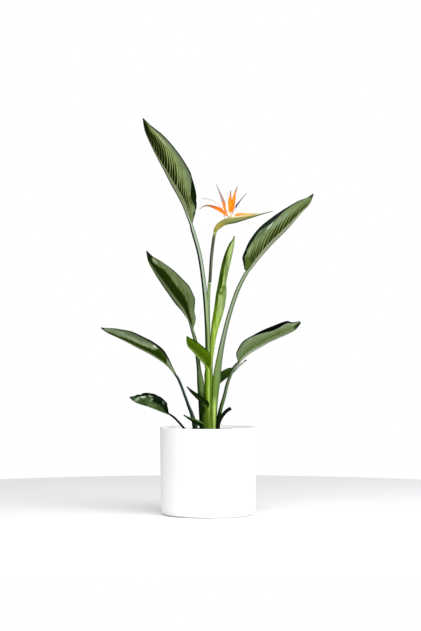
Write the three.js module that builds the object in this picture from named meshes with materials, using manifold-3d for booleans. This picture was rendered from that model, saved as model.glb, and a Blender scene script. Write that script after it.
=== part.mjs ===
// A bird of paradise plant (Strelitzia reginae) in a round white pot.
// Units are millimetres, +Z is up, and the origin is the middle of the pot's flat underside.
// +X is to the right and +Y is away from someone who looks at the plant's front.
import * as THREE from "three";
import { mergeVertices } from "three/addons/utils/BufferGeometryUtils.js";
import Module from "manifold-3d";

const wasm = await Module();
wasm.setup();

// Driving dimensions of the pot
const POT_DIAMETER = 280;
const POT_HEIGHT = 255;
const POT_TAPER = 3; // how much narrower the radius is at the bottom
const POT_WALL = 5;
const POT_FLOOR = 8;
const POT_EDGE_RADIUS = 18; // the rounded edge between wall and underside
const POT_SEGMENTS = 44;

// Driving dimensions of the soil and of the plant's roots in it
const SOIL_BELOW_RIM = 13;
const SOIL_CROWN = 3; // the middle is heaped by this much
const SOIL_EASE = 0.7; // between the soil and the pot's faceted wall
const ROOT_DEPTH = 34; // how deep each stem stands in its hole
const HOLE_EASE = 0.15; // by which a hole is wider than the gap asks for, because both are faceted
const GAP = 0.3; // between pieces that touch

// Sections and thicknesses of stems and leaves
const STEM_SIDES = 8;
const STEM_FLATNESS = 0.85; // depth of a stem's section as a share of its width
const BLADE_THICKNESS = 1.1;
const MARGIN_THICKNESS = 0.8;
const MIDRIB_HEIGHT = 2.6; // at the base of a blade, fading towards its tip
const MIDRIB_WIDTH = 3.5; // half of it
const MIDRIB_FADE = 0.8; // share of its height that is lost at the tip
const LEAST_REACH = 3; // half-width of a blade at its very tip
const MIDRIB_RUN = 0.16; // the petiole runs on under the blade for this share of its length
const MIDRIB_TAPER = 0.45; // and thins to this share of its radius there
const FAR_PHASE = 0.35; // by which the waves of a leaf's far half are ahead of those of its near half

const potRadius = POT_DIAMETER / 2;
const soilTop = POT_HEIGHT - SOIL_BELOW_RIM;
const rootEnd = soilTop - ROOT_DEPTH;

const material = (colour, roughness) => new THREE.MeshStandardMaterial({ color: colour, roughness, metalness: 0 });
const finishes = {
  pot: material(0xf2f2f0, 0.35),
  soil: material(0x2e2620, 0.95),
  darkLeaf: material(0x34501c, 0.42),
  midLeaf: material(0x466a1e, 0.42),
  brightLeaf: material(0x8fb43a, 0.45),
  stub: material(0x1a2412, 0.6),
  stalk: material(0x5f7350, 0.5),
  spathe: material(0x6c8450, 0.5),
  orange: material(0xf08a1c, 0.5),
  blue: material(0x3a3150, 0.5),
  pale: material(0xc9b9ae, 0.6),
};

// A closed triangle mesh as a solid, turned right side out if it came inside out.
function solidFrom(points, triangles) {
  const vertProperties = new Float32Array(points.flatMap((p) => [p.x, p.y, p.z]));
  const build = (list) =>
    new wasm.Manifold(new wasm.Mesh({ numProp: 3, vertProperties, triVerts: new Uint32Array(list.flat()) }));
  const made = build(triangles);
  return made.volume() > 0 ? made : build(triangles.map(([a, b, c]) => [a, c, b]));
}

// A three.js geometry as a solid.
function solidOfGeometry(geometry) {
  const bare = geometry.index ? geometry.toNonIndexed() : geometry;
  bare.deleteAttribute("normal");
  bare.deleteAttribute("uv");
  const merged = mergeVertices(bare, 1e-3);
  const position = merged.getAttribute("position");
  const pointAt = (i) => new THREE.Vector3().fromBufferAttribute(position, i);
  const points = Array.from({ length: position.count }, (_, i) => pointAt(i));
  const index = Array.from(merged.index.array);
  const triangles = Array.from({ length: index.length / 3 }, (_, i) => index.slice(3 * i, 3 * i + 3));
  return solidFrom(points, triangles);
}

// A solid as a three.js geometry.
function geometryOf(solid) {
  const mesh = solid.getMesh();
  const geometry = new THREE.BufferGeometry();
  geometry.setAttribute("position", new THREE.BufferAttribute(mesh.vertProperties, 3));
  geometry.setIndex(new THREE.BufferAttribute(mesh.triVerts, 1));
  return geometry;
}

// Rings of equally many points, joined in order and closed by a fan at either end.
function loft(rings) {
  const sides = rings[0].length;
  const triangles = [];
  for (let i = 0; i + 1 < rings.length; i++) {
    for (let j = 0; j < sides; j++) {
      const next = (j + 1) % sides;
      const [a, b, c, d] = [i * sides + j, i * sides + next, (i + 1) * sides + next, (i + 1) * sides + j];
      triangles.push([a, b, c], [a, c, d]);
    }
  }
  const last = (rings.length - 1) * sides;
  for (let j = 1; j + 1 < sides; j++) {
    triangles.push([0, j + 1, j], [last, last + j, last + j + 1]);
  }
  return solidFrom(rings.flat(), triangles);
}

// Two grids of points of the same size, one for each face of a thin sheet, closed round its border.
// Both faces are split along the same diagonals, so that they never cross.
function sheet(front, back) {
  const rows = front.length;
  const columns = front[0].length;
  const behind = rows * columns;
  const at = (i, j) => i * columns + j;
  const triangles = [];
  for (let i = 0; i + 1 < rows; i++) {
    for (let j = 0; j + 1 < columns; j++) {
      const [a, b, c, d] = [at(i, j), at(i, j + 1), at(i + 1, j + 1), at(i + 1, j)];
      triangles.push([a, b, c], [a, c, d]);
      triangles.push([behind + a, behind + c, behind + b], [behind + a, behind + d, behind + c]);
    }
  }
  const border = [];
  for (let j = 0; j + 1 < columns; j++) border.push(at(0, j));
  for (let i = 0; i + 1 < rows; i++) border.push(at(i, columns - 1));
  for (let j = columns - 1; j > 0; j--) border.push(at(rows - 1, j));
  for (let i = rows - 1; i > 0; i--) border.push(at(i, 0));
  border.forEach((a, k) => {
    const b = border[(k + 1) % border.length];
    triangles.push([b, a, behind + a], [b, behind + a, behind + b]);
  });
  return solidFrom([...front.flat(), ...back.flat()], triangles);
}

// A smooth path through points [x, y, z, size], where size is a radius or a half-width there.
// at(i) gives the place, the frame and the size at point i, which may be a fraction.
function path(points, lean = 1) {
  const last = points.length - 1;
  const line = new THREE.CatmullRomCurve3(points.map(([x, y, z]) => new THREE.Vector3(x, y, z)));
  const sizePoints = points.map(([, , , size]) => new THREE.Vector3(size, 0, 0));
  const sizes = new THREE.CatmullRomCurve3(sizePoints, false, "catmullrom", 0.5);
  const away = new THREE.Vector3(0, 1, 0);
  const at = (i) => {
    const t = i / last;
    const along = line.getTangent(t);
    const inward = away.clone().cross(along).normalize().multiplyScalar(lean);
    const near = away.clone().negate().addScaledVector(along, along.y).normalize();
    return { place: line.getPoint(t), along, inward, near, size: sizes.getPoint(t).x };
  };
  return { at, last };
}

// A round or oval tube along a path, from its point `from` to its point `to`.
// It is as wide as the path's size says, unless `radiusAt` says otherwise.
function tube(route, { from = 0, to = route.last, steps, flatness = STEM_FLATNESS, sides = STEM_SIDES, radiusAt }) {
  const rings = [];
  for (let k = 0; k <= steps; k++) {
    const i = from + ((to - from) * k) / steps;
    const { place, inward, near, size } = route.at(i);
    const radius = radiusAt ? radiusAt(i) : size;
    rings.push(
      Array.from({ length: sides }, (_, j) => {
        const angle = (2 * Math.PI * (j + 0.5)) / sides;
        return place
          .clone()
          .addScaledVector(inward, radius * Math.cos(angle))
          .addScaledVector(near, radius * flatness * Math.sin(angle));
      }),
    );
  }
  return loft(rings);
}

// A stem's own points, with a straight root in the soil below the first of them.
const rooted = ([first, ...rest]) => {
  const [x, y, , size] = first;
  return [[x, y, rootEnd, size], [x, y, soilTop - SOIL_CROWN, size], first, ...rest];
};

// The hole that a rooted stem stands in, with a gap all round.
function rootHole(stem, flatness) {
  const [x, y, , size] = stem[0];
  const radius = size + GAP / Math.cos(Math.PI / STEM_SIDES) / flatness + HOLE_EASE;
  const shape = [rootEnd - GAP, soilTop + 3 * SOIL_CROWN].map((z) => [x, y, z, radius]);
  return tube(path(shape), { steps: 1, flatness });
}

// A folded leaf. Its stem's points carry a radius, and its blade's points, along the midrib, the half-width.
// Each half of the blade leaves the midrib at a slope and curls back towards its margin:
// `open` is how far the margin stands out sideways, `cup` how much the half bulges, as shares of the half-width.
// A dent in the near half's margin has its middle and its length as shares of the blade's length, and its depth.
function leaf({ stem, blade, lean, near, far, flatness = STEM_FLATNESS, columns = 4, steps, wave, dent }) {
  const rootedStem = rooted(stem);
  const route = path([...rootedStem, ...blade], lean);
  const start = rootedStem.length;
  const tip = route.last;
  const across = (reach) => {
    const first = Math.min(1 / columns, MIDRIB_WIDTH / reach);
    const rest = Array.from({ length: columns }, (_, j) => first + ((1 - first) * j) / (columns - 1));
    return [0, ...rest];
  };
  const middle = [];
  for (let i = 0; i <= steps; i++) {
    const run = i / steps;
    const { place, inward, near: side, size } = route.at(start + (tip - start) * run);
    const reach = Math.max(size, LEAST_REACH);
    const half = ({ share = 1, open, cup }, sign, phase) =>
      across(reach).map((t) => {
        const rippled = Math.sin(Math.PI * run) * Math.sin(2 * Math.PI * (wave.count * run + phase));
        const out = reach * (open * t + cup * Math.sin(Math.PI * t)) + wave.height * t * t * rippled;
        const dented = dent && sign > 0 ? dent.depth * Math.exp(-(((run - dent.middle) / dent.length) ** 2)) : 0;
        return place
          .clone()
          .addScaledVector(inward, (share - dented * t ** 3) * reach * t)
          .addScaledVector(side, sign * out);
      });
    middle.push([...half(far, -1, FAR_PHASE).reverse(), ...half(near, 1, 0).slice(1)]);
  }
  const outside = [];
  const inside = [];
  middle.forEach((row, i) => {
    const run = i / steps;
    outside.push([]);
    inside.push([]);
    row.forEach((point, j) => {
      const before = middle[Math.max(i - 1, 0)][j];
      const after = middle[Math.min(i + 1, steps)][j];
      const left = row[Math.max(j - 1, 0)];
      const right = row[Math.min(j + 1, row.length - 1)];
      const normal = after.clone().sub(before).cross(right.clone().sub(left)).normalize().multiplyScalar(-lean);
      const fromMidrib = Math.abs(j - columns);
      const thick = THREE.MathUtils.lerp(BLADE_THICKNESS, MARGIN_THICKNESS, fromMidrib / columns);
      const ridge = fromMidrib === 0 ? MIDRIB_HEIGHT * (1 - MIDRIB_FADE * run) : 0;
      outside[i].push(point.clone().addScaledVector(normal, thick / 2 + ridge));
      inside[i].push(point.clone().addScaledVector(normal, -thick / 2));
    });
  });
  const neck = start - 1;
  const neckRadius = stem.at(-1)[3];
  const end = start + (tip - start) * MIDRIB_RUN;
  const radiusAt = (i) => {
    if (i <= neck) return route.at(i).size;
    return neckRadius * THREE.MathUtils.lerp(1, MIDRIB_TAPER, (i - neck) / (end - neck));
  };
  const stalk = tube(route, { to: end, steps: 2 * rootedStem.length, flatness, radiusAt });
  return { solid: sheet(outside, inside).add(stalk), hole: rootHole(stem, flatness) };
}

// How the two halves of a blade fold: upright like a trough, opened wide, or nearly shut
const trough = { open: 0.35, cup: 0.2 };
const wide = { open: 0.95, cup: 0.12, share: -0.12 };
const shut = { open: 0.08, cup: 0.1 };

// The leaves. Points run up the middle of the petiole, then along the midrib to the tip.
// `lean` is 1 for a leaf that leans to the left and -1 for one that leans to the right.
const leaves = {
  leaf_tall_left: {
    stem: [
      [-2, -2, 250, 7], [-2, -3, 419, 6.9], [-2.4, -5, 523, 7.2], [-7.6, -10, 622, 7.3], [-15.6, -16, 695, 7],
      [-26.5, -23, 760, 6.7], [-45, -31, 825, 6.4],
    ],
    blade: [
      [-49.5, -31, 841, 5], [-61.5, -36, 868, 28], [-73.5, -41, 896, 46], [-87.5, -48, 923, 56], [-106, -55, 955, 64],
      [-125, -63, 992, 62], [-144, -70, 1027, 57], [-164, -77, 1067, 46], [-180.5, -85, 1106, 26],
      [-187, -92, 1140, 2],
    ],
    lean: 1, near: trough, far: trough, steps: 18, wave: { height: 3, count: 4 }, finish: "darkLeaf",
    dent: { middle: 0.26, length: 0.1, depth: 0.5 },
  },
  leaf_tall_right: {
    stem: [
      [17, -8, 250, 5.8], [18.5, -8, 332, 9.6], [23, -7, 390, 12.2], [31, -5, 448, 9.6], [46, 0, 522, 7.2],
      [63, 6, 587, 6.7], [85.2, 13, 651, 6.5], [107.6, 20, 696, 6.4],
    ],
    blade: [
      [114, 22, 705, 11], [128.8, 28, 721, 35], [146.2, 35, 742, 44], [165.3, 44, 764, 52], [190.3, 52, 791, 56],
      [217.4, 63, 817, 55], [245.4, 74, 847, 48], [273.4, 87, 880, 35], [298, 95, 906, 22], [310, 104, 935, 2],
    ],
    lean: -1, near: trough, far: { open: 0.3, cup: 0.18, share: 1.06 }, steps: 18, wave: { height: 3, count: 3.5 },
    finish: "darkLeaf",
  },
  leaf_mid_left: {
    stem: [
      [-17, -9, 250, 8.6], [-19, -8, 332, 10], [-21.5, -5, 378, 10.8], [-26.6, -3, 419, 7], [-30.6, 0, 457, 6.4],
      [-37, 3, 503, 5.9],
    ],
    blade: [
      [-46.5, 6, 535, 4], [-54, 13, 557, 20], [-63, 18, 576, 27], [-76, 25, 597, 48], [-95, 32, 620, 57],
      [-115, 39, 647, 54], [-138, 51, 679, 47], [-159.5, 60, 711, 34], [-175, 67, 738, 20], [-182, 74, 766, 2],
    ],
    lean: 1, near: trough, far: wide, steps: 18, wave: { height: 3, count: 3 }, finish: "darkLeaf",
  },
  leaf_low_left: {
    stem: [[-37, -4, 250, 8.5], [-47, -3, 290, 6], [-57, -1, 315, 4.8], [-66, 2, 340, 4.4], [-87, 9, 393, 4.2]],
    blade: [
      [-97, 12, 407, 4], [-110, 19, 423, 8], [-126, 24, 438, 17], [-149, 34, 453.5, 29], [-177, 44, 469.5, 34],
      [-206, 53, 483.5, 35], [-237, 65, 499.5, 33], [-269, 75, 514.5, 24], [-295, 85, 526, 15], [-316, 92, 540, 2],
    ],
    lean: 1, near: trough, far: trough, steps: 16, wave: { height: 2, count: 2.5 }, finish: "darkLeaf",
  },
  leaf_lowest_left: {
    stem: [[-67, -14, 247, 4], [-71, -16, 252, 3.6], [-87, -24, 271, 3.3], [-101, -31, 285, 3.3]],
    blade: [
      [-115, -36, 294, 3], [-125, -41, 298, 17], [-136, -48, 302, 29], [-157, -60, 311, 38],
      [-178, -70, 319, 36], [-197, -81, 325, 27], [-213, -91, 333, 18], [-224, -98, 343, 3],
    ],
    lean: 1, near: { open: 0.4, cup: 0.22 }, far: trough, steps: 16, wave: { height: 4, count: 4.5 },
    finish: "darkLeaf",
  },
  leaf_low_right: {
    stem: [
      [27, 6, 250, 6.5], [29, 5, 276, 6.4], [37, 0, 312, 6], [46, -5, 342, 5.6], [54, -9, 376, 5.2],
      [63, -12, 402, 5], [76, -16, 429, 4.8],
    ],
    blade: [
      [88, -18, 442, 4], [96, -21, 449.5, 18.5], [108, -27, 460, 27.5], [125, -33, 472.6, 35], [147, -39, 485.4, 35.5],
      [171, -48, 499, 35], [199, -57, 512, 34], [226, -66, 524, 33], [250, -72, 537, 26], [265, -78, 557, 5],
    ],
    lean: -1, near: { ...trough, share: 1.12 }, far: { open: 0.3, cup: 0.18, share: 1.1 }, steps: 16,
    wave: { height: 2, count: 3 }, finish: "darkLeaf", dent: { middle: 0.69, length: 0.16, depth: 0.42 },
  },
  leaf_small_bright: {
    stem: [[-1, -15, 250, 6], [-2.2, -19.5, 347, 8.4], [-2.3, -21, 391, 8.9], [-2.6, -21.5, 408, 8.6]],
    blade: [
      [-2.6, -22, 424, 6], [-7, -25, 432, 16], [-17, -29, 444, 31], [-31, -34, 459, 32], [-45, -39, 475, 29],
      [-58, -44, 489, 26], [-62, -48, 504, 20], [-62, -52, 517, 3],
    ],
    lean: 1, near: { open: 0.5, cup: 0.15 }, far: { open: 0.2, cup: 0.15 }, steps: 10,
    wave: { height: 1.5, count: 2 }, finish: "brightLeaf",
  },
  leaf_small_right: {
    stem: [[17, 17, 250, 4.5], [22, 17, 330, 4.2], [28, 14, 366, 3.6]],
    blade: [
      [31, 13, 379, 3], [38, 13, 386, 15], [49, 13, 394, 22], [60, 13, 403, 21], [75, 20, 414, 14],
      [92, 20, 430, 6], [111, 28, 447, 2],
    ],
    lean: -1, near: trough, far: trough, steps: 10, wave: { height: 1.5, count: 2 }, finish: "midLeaf",
  },
  leaf_small_sheath: {
    stem: [[-7, -28.5, 250, 16.5], [-8, -29, 285, 14], [-6, -29, 300, 9]],
    blade: [
      [-7, -29, 309, 9], [-12, -31, 318, 16], [-22, -35, 329, 13], [-34, -39, 340, 12], [-48, -44, 354, 8],
      [-62, -50, 372, 2],
    ],
    lean: 1, near: { open: 0.5, cup: 0.15 }, far: shut, flatness: 0.28, steps: 10, wave: { height: 1, count: 2 },
    finish: "midLeaf",
  },
  leaf_tiny_front: {
    stem: [[-10, -37.5, 246, 3.6]],
    blade: [
      [-14, -38, 253, 4], [-22, -39, 259, 11], [-34, -41, 265, 12], [-48, -44, 274, 9], [-60, -48, 282, 5],
      [-71, -51, 290, 2],
    ],
    lean: 1, near: { open: 0.5, cup: 0.15 }, far: shut, steps: 8, wave: { height: 1, count: 2 }, finish: "midLeaf",
  },
};

// The young leaf is still rolled round itself. Its section is a spiral whose outer edge steps down at the seam.
const YOUNG_LEAF = [
  [10, 6, 250, 5.5], [8.5, 5, 376, 5], [8.6, 3, 448, 5], [12, 1, 491, 7.5], [17.6, -1, 535, 10.2],
  [26.1, -2, 573, 13.4], [33.5, -3, 605, 15], [39.2, -3, 642, 14.8], [41.4, -4, 672, 11.6], [50.6, -5, 720, 11.8],
  [59, -5, 752, 11], [67, -6, 779, 8], [73, -6, 795, 4], [76, -6, 808, 1.2],
];
const YOUNG_LEAF_OPENS = 5; // the point from which its section is a spiral
const SPIRAL_STEP = 0.3; // how far the outer edge stands out, as a share of the radius
const SPIRAL_SIDES = 12;
const SPIRAL_TURN = 0.96; // of a full turn, the rest being the step at the seam
const SPIRAL_MIDDLE = 0.6; // the share of the turn at which the radius is as the points say
const YOUNG_LEAF_STEPS = 26;
const SEAM_ANGLE = 0.7; // radians from the side that leans inwards, towards the front

function youngLeaf() {
  const route = path(rooted(YOUNG_LEAF), -1);
  const rings = [];
  for (let k = 0; k <= YOUNG_LEAF_STEPS; k++) {
    const i = (route.last * k) / YOUNG_LEAF_STEPS;
    const { place, inward, near, size } = route.at(i);
    const rolled = THREE.MathUtils.smoothstep(i, YOUNG_LEAF_OPENS, YOUNG_LEAF_OPENS + 2);
    rings.push(
      Array.from({ length: SPIRAL_SIDES }, (_, j) => {
        const turn = j / (SPIRAL_SIDES - 1);
        const angle = SEAM_ANGLE + 2 * Math.PI * turn * SPIRAL_TURN;
        const radius = size * (1 + rolled * SPIRAL_STEP * (turn - SPIRAL_MIDDLE));
        return place
          .clone()
          .addScaledVector(inward, radius * Math.cos(angle))
          .addScaledVector(near, radius * STEM_FLATNESS * Math.sin(angle));
      }),
    );
  }
  return { solid: loft(rings), hole: rootHole(YOUNG_LEAF, STEM_FLATNESS) };
}

// An old petiole that was cut off square.
const PETIOLE_STUB = [
  [28, -7, 250, 4], [33, -8, 270, 4.3], [39, -9, 284, 4.8], [50, -11, 298, 5], [65, -14, 309, 5],
];

// The flower's stalk, with the sheath that wraps it up to its joint
const FLOWER_STALK = [
  [-1, 15, 250, 5.6], [2, 15, 390, 5.6], [0.6, 13, 523, 5.2], [0.8, 9, 622, 4.6], [3.4, 8, 672, 4.8],
  [4.4, 8, 676, 4.6], [9.2, 6, 747, 4.7], [15.6, 4, 799, 4.6], [19, 3, 816, 4.5],
];

function rootedStem(points, steps) {
  return { solid: tube(path(rooted(points)), { steps }), hole: rootHole(points, STEM_FLATNESS) };
}

// The bract: a boat-shaped beak that goes on from the stalk, turned down to the right, with a slot along its top.
// Its points carry half its height.
const SPATHE = [
  [19.4, 3, 817, 4.6], [22, 2.5, 827, 6.4], [29, 2, 835, 8.2], [42, 1, 845, 8.6], [58.6, 0, 851, 9.6],
  [75, 0, 853.4, 9.2], [92, -1, 856.8, 7.7], [109, -2, 860.2, 5.6], [127, -3, 863.8, 3.7], [144, -4, 868, 2.4],
  [162, -5, 873, 1.7], [187, -6, 879.5, 0.9],
];
const SPATHE_STEPS = 20;
// Half of the boat's section, from keel to slot, as shares of half the height: [sideways, up]
const BOAT = [[0.4, -0.62], [0.66, 0.02], [0.52, 0.68], [0.24, 1]];
const SLOT_DEPTH = 0.5;
const NECK_ENDS = [0.5, 2]; // the points between which the round neck becomes a boat

function spathe() {
  const route = path(SPATHE);
  const boat = [[0, -1], ...BOAT, [0, 1 - SLOT_DEPTH], ...BOAT.map(([side, up]) => [-side, up]).reverse()];
  const neck = boat.map((_, j) => {
    const angle = (2 * Math.PI * j) / boat.length - Math.PI / 2;
    return [STEM_FLATNESS * Math.cos(angle), Math.sin(angle)];
  });
  const rings = [];
  for (let k = 0; k <= SPATHE_STEPS; k++) {
    const i = (route.last * k) / SPATHE_STEPS;
    const { place, along, size } = route.at(i);
    const side = new THREE.Vector3(0, -1, 0).addScaledVector(along, along.y).normalize();
    const up = side.clone().cross(along).normalize();
    const share = THREE.MathUtils.smoothstep(i, ...NECK_ENDS);
    rings.push(
      boat.map(([s, u], j) =>
        place
          .clone()
          .addScaledVector(side, size * THREE.MathUtils.lerp(neck[j][0], s, share))
          .addScaledVector(up, size * THREE.MathUtils.lerp(neck[j][1], u, share)),
      ),
    );
  }
  return loft(rings);
}

// A petal: a slender blade, folded a little along its middle. Its points carry the half-width, across the view.
const PETAL_THICKNESS = 1.6;
const PETAL_FOLD = 0.35; // how far the middle stands behind the edges, as a share of the half-width
const PETAL_STEPS = 9;
// Across a petal: [share of the half-width, share of the thickness there, share of the fold there]
const PETAL_ACROSS = [[-1, 0.3, 0], [-0.45, 1, 0.5], [0, 1, 1], [0.45, 1, 0.5], [1, 0.3, 0]];

function petal(points) {
  const route = path(points);
  const rings = [];
  for (let k = 0; k <= PETAL_STEPS; k++) {
    const { place, inward, near, size } = route.at((route.last * k) / PETAL_STEPS);
    const face = (sign) =>
      PETAL_ACROSS.map(([across, thick, fold]) => {
        const out = (sign * thick * Math.min(PETAL_THICKNESS, size)) / 2 - fold * size * PETAL_FOLD;
        return place.clone().addScaledVector(inward, size * across).addScaledVector(near, out);
      });
    rings.push([...face(1), ...face(-1).reverse()]);
  }
  return loft(rings);
}

// The four open sepals, which are joined at their base
const SEPALS = [
  [
    [62, 2.5, 866, 2.4], [63, 1, 880, 4.4], [63.5, 0, 892, 6], [63, -2, 908, 5.8], [64, -4, 923, 3],
    [65, -6, 940, 0.9],
  ],
  [[64, 3, 866, 2.4], [68, 4, 880, 4], [71, 5, 892, 5.4], [74, 6, 914, 5], [78, 8, 933, 3], [85, 10, 953, 0.9]],
  [
    [58, 3, 864, 2.2], [53, 5, 876, 2.8], [48, 6, 886, 3.6], [45, 8, 902, 5], [39.5, 10, 918, 3.8], [32, 12, 938, 2],
    [23, 14, 958, 0.8],
  ],
  [
    [60, 2, 863, 2], [52, 0, 869, 2.6], [46, -2, 874, 3.8], [34, -4, 883.5, 5.6], [19, -6, 890, 4.4],
    [2, -8, 895, 2.8], [-12, -9, 894, 1.8], [-26, -10, 884, 0.8],
  ],
];
const SEPAL_BASE = { at: [62, 2.9, 865.6], half: [7.5, 2.7, 4.4] };

function sepals() {
  const core = new THREE.SphereGeometry(1, 10, 6);
  core.scale(...SEPAL_BASE.half).translate(...SEPAL_BASE.at);
  return SEPALS.reduce((whole, points) => whole.add(petal(points)), solidOfGeometry(core));
}

// The next flower's sepal lies on the lips of the slot: a low fin, whose points carry half its height.
const SEPAL_IN_SPATHE = [
  [77, -0.5, 867.2, 2.6], [84, -0.8, 869.4, 3.7], [96, -1.2, 870.6, 3.8], [112, -2, 870.2, 3.3],
  [128, -3, 870.6, 2.5], [143, -4, 872.2, 1.2],
];

// The arrow-shaped tongue on its pale shaft, beside the sepals' base
const TONGUE = [
  [65.5, -3.2, 862.9, 1.5], [71, -5, 874, 1.3], [77.5, -6, 886, 1.2], [79, -6, 889, 1.6], [83, -6.5, 897, 2.5],
  [92, -7, 909, 1.6], [101, -8, 920, 1.1], [111, -9, 932, 0.7],
];

// The thin withered strand that bends away to the left
const STRAND = [
  [48, 4, 857.5, 1.2], [44, 6, 876, 1.2], [38, 7, 890, 1.2], [22, 8, 905, 1.2], [10, 9, 912, 1.1],
  [-6, 10, 916, 0.9], [-20, 11, 916, 0.6],
];

// A round body turned about the Z axis, from its profile of [radius, height].
const turned = (profile) => new THREE.LatheGeometry(profile, POT_SEGMENTS).rotateX(Math.PI / 2);

// The pot: a straight, slightly tapered wall on a rounded bottom edge, with a thin round rim.
function pot() {
  const bottomRadius = potRadius - POT_TAPER;
  const rim = POT_WALL / 2;
  const insideEdge = POT_EDGE_RADIUS - POT_WALL;
  const round = (x, z, radius, from, to, steps) =>
    Array.from({ length: steps + 1 }, (_, k) => {
      const angle = THREE.MathUtils.degToRad(from + ((to - from) * k) / steps);
      return new THREE.Vector2(x + radius * Math.cos(angle), z + radius * Math.sin(angle));
    });
  const profile = [
    new THREE.Vector2(0, 0),
    ...round(bottomRadius - POT_EDGE_RADIUS, POT_EDGE_RADIUS, POT_EDGE_RADIUS, -90, 0, 4),
    ...round(potRadius - rim, POT_HEIGHT - rim, rim, 0, 180, 4),
    ...round(bottomRadius - POT_WALL - insideEdge, POT_FLOOR + insideEdge, insideEdge, 0, -90, 2),
    new THREE.Vector2(0, POT_FLOOR),
  ];
  return turned(profile);
}

// The soil fills the pot, less a gap, and each stem stands in a plain hole in it.
function soil(holes) {
  const radiusAt = (z) => potRadius - POT_TAPER * (1 - z / POT_HEIGHT) - POT_WALL - SOIL_EASE;
  const profile = [
    new THREE.Vector2(0, POT_FLOOR + GAP),
    new THREE.Vector2(radiusAt(0) - POT_EDGE_RADIUS, POT_FLOOR + GAP),
    new THREE.Vector2(radiusAt(0), POT_FLOOR + POT_EDGE_RADIUS),
    new THREE.Vector2(radiusAt(soilTop), soilTop),
    new THREE.Vector2(potRadius / 2, soilTop + 0.7 * SOIL_CROWN),
    new THREE.Vector2(0, soilTop + SOIL_CROWN),
  ];
  const filling = solidOfGeometry(turned(profile));
  return holes.reduce((rest, hole) => rest.subtract(hole), filling);
}

const plant = new THREE.Group();
const addPiece = (name, geometry, finish) => {
  const mesh = new THREE.Mesh(geometry, finishes[finish]);
  mesh.name = name;
  plant.add(mesh);
};

const holes = [];
const addRooted = (name, { solid, hole }, finish) => {
  holes.push(hole);
  addPiece(name, geometryOf(solid), finish);
};

for (const [name, shape] of Object.entries(leaves)) addRooted(name, leaf(shape), shape.finish);
addRooted("leaf_young_rolled", youngLeaf(), "brightLeaf");
addRooted("petiole_stub", rootedStem(PETIOLE_STUB, 10), "stub");
addRooted("flower_stalk", rootedStem(FLOWER_STALK, 20), "stalk");
addPiece("flower_spathe", geometryOf(spathe()), "spathe");
addPiece("flower_sepals", geometryOf(sepals()), "orange");
const slender = (points, options) => geometryOf(tube(path(points), { sides: 6, ...options }));
addPiece("flower_sepal_in_spathe", slender(SEPAL_IN_SPATHE, { steps: 7, flatness: 0.45 }), "orange");
addPiece("flower_tongue", slender(TONGUE, { steps: 12 }), "blue");
addPiece("flower_strand", slender(STRAND, { steps: 10 }), "pale");
addPiece("pot", pot(), "pot");
addPiece("soil", geometryOf(soil(holes)), "soil");

export default plant;
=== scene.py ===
# A bird of paradise plant in a round white pot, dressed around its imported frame.
# Units are metres, +Z is up, and the sizes that repeat the frame's are written in millimetres.
import math

import bpy
import numpy as np
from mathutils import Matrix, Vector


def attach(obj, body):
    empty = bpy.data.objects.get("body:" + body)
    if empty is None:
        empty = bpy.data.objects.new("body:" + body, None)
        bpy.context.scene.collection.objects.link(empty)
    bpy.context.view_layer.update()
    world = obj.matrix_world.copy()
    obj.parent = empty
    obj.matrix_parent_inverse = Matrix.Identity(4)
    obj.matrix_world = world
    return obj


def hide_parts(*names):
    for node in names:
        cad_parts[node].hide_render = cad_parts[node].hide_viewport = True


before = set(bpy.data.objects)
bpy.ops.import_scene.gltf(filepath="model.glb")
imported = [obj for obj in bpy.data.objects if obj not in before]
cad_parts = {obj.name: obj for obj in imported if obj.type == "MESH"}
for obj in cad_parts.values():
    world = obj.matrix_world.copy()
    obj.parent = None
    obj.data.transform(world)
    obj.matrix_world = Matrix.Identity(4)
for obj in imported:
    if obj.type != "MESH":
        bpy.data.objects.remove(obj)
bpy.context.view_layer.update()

# The viewpoint and the soft light.
# The camera looks level at the middle of the plant from six metres. One large soft window stands to the
# right in front and another hangs above, so the left sides of stems and pot fall off a little.
scene = bpy.context.scene
scene.view_settings.view_transform = "Standard"

CAMERA_PLACE = (0.0064, -6.1, 0.577)
LENS = 120
SENSOR = 36
FARTHEST_SEEN = 60
camera_data = bpy.data.cameras.new("view")
camera_data.lens = LENS
camera_data.sensor_width = SENSOR
camera_data.clip_end = FARTHEST_SEEN
camera = bpy.data.objects.new("view", camera_data)
camera.location = CAMERA_PLACE
camera.rotation_euler = (math.pi / 2, 0, 0)
scene.collection.objects.link(camera)
scene.camera = camera

WORLD_SEEN = 1.0
WORLD_LIGHT = 0.5
world = bpy.data.worlds.new("soft_room")
scene.world = world
world.use_nodes = True
room = world.node_tree
room.nodes.clear()
seen = room.nodes.new("ShaderNodeBackground")
seen.inputs["Strength"].default_value = WORLD_SEEN
lit = room.nodes.new("ShaderNodeBackground")
lit.inputs["Strength"].default_value = WORLD_LIGHT
for shade in (seen, lit):
    shade.inputs["Color"].default_value = (1, 1, 1, 1)
ray = room.nodes.new("ShaderNodeLightPath")
either = room.nodes.new("ShaderNodeMixShader")
sky = room.nodes.new("ShaderNodeOutputWorld")
room.links.new(ray.outputs["Is Camera Ray"], either.inputs[0])
room.links.new(lit.outputs[0], either.inputs[1])
room.links.new(seen.outputs[0], either.inputs[2])
room.links.new(either.outputs[0], sky.inputs["Surface"])

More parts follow.
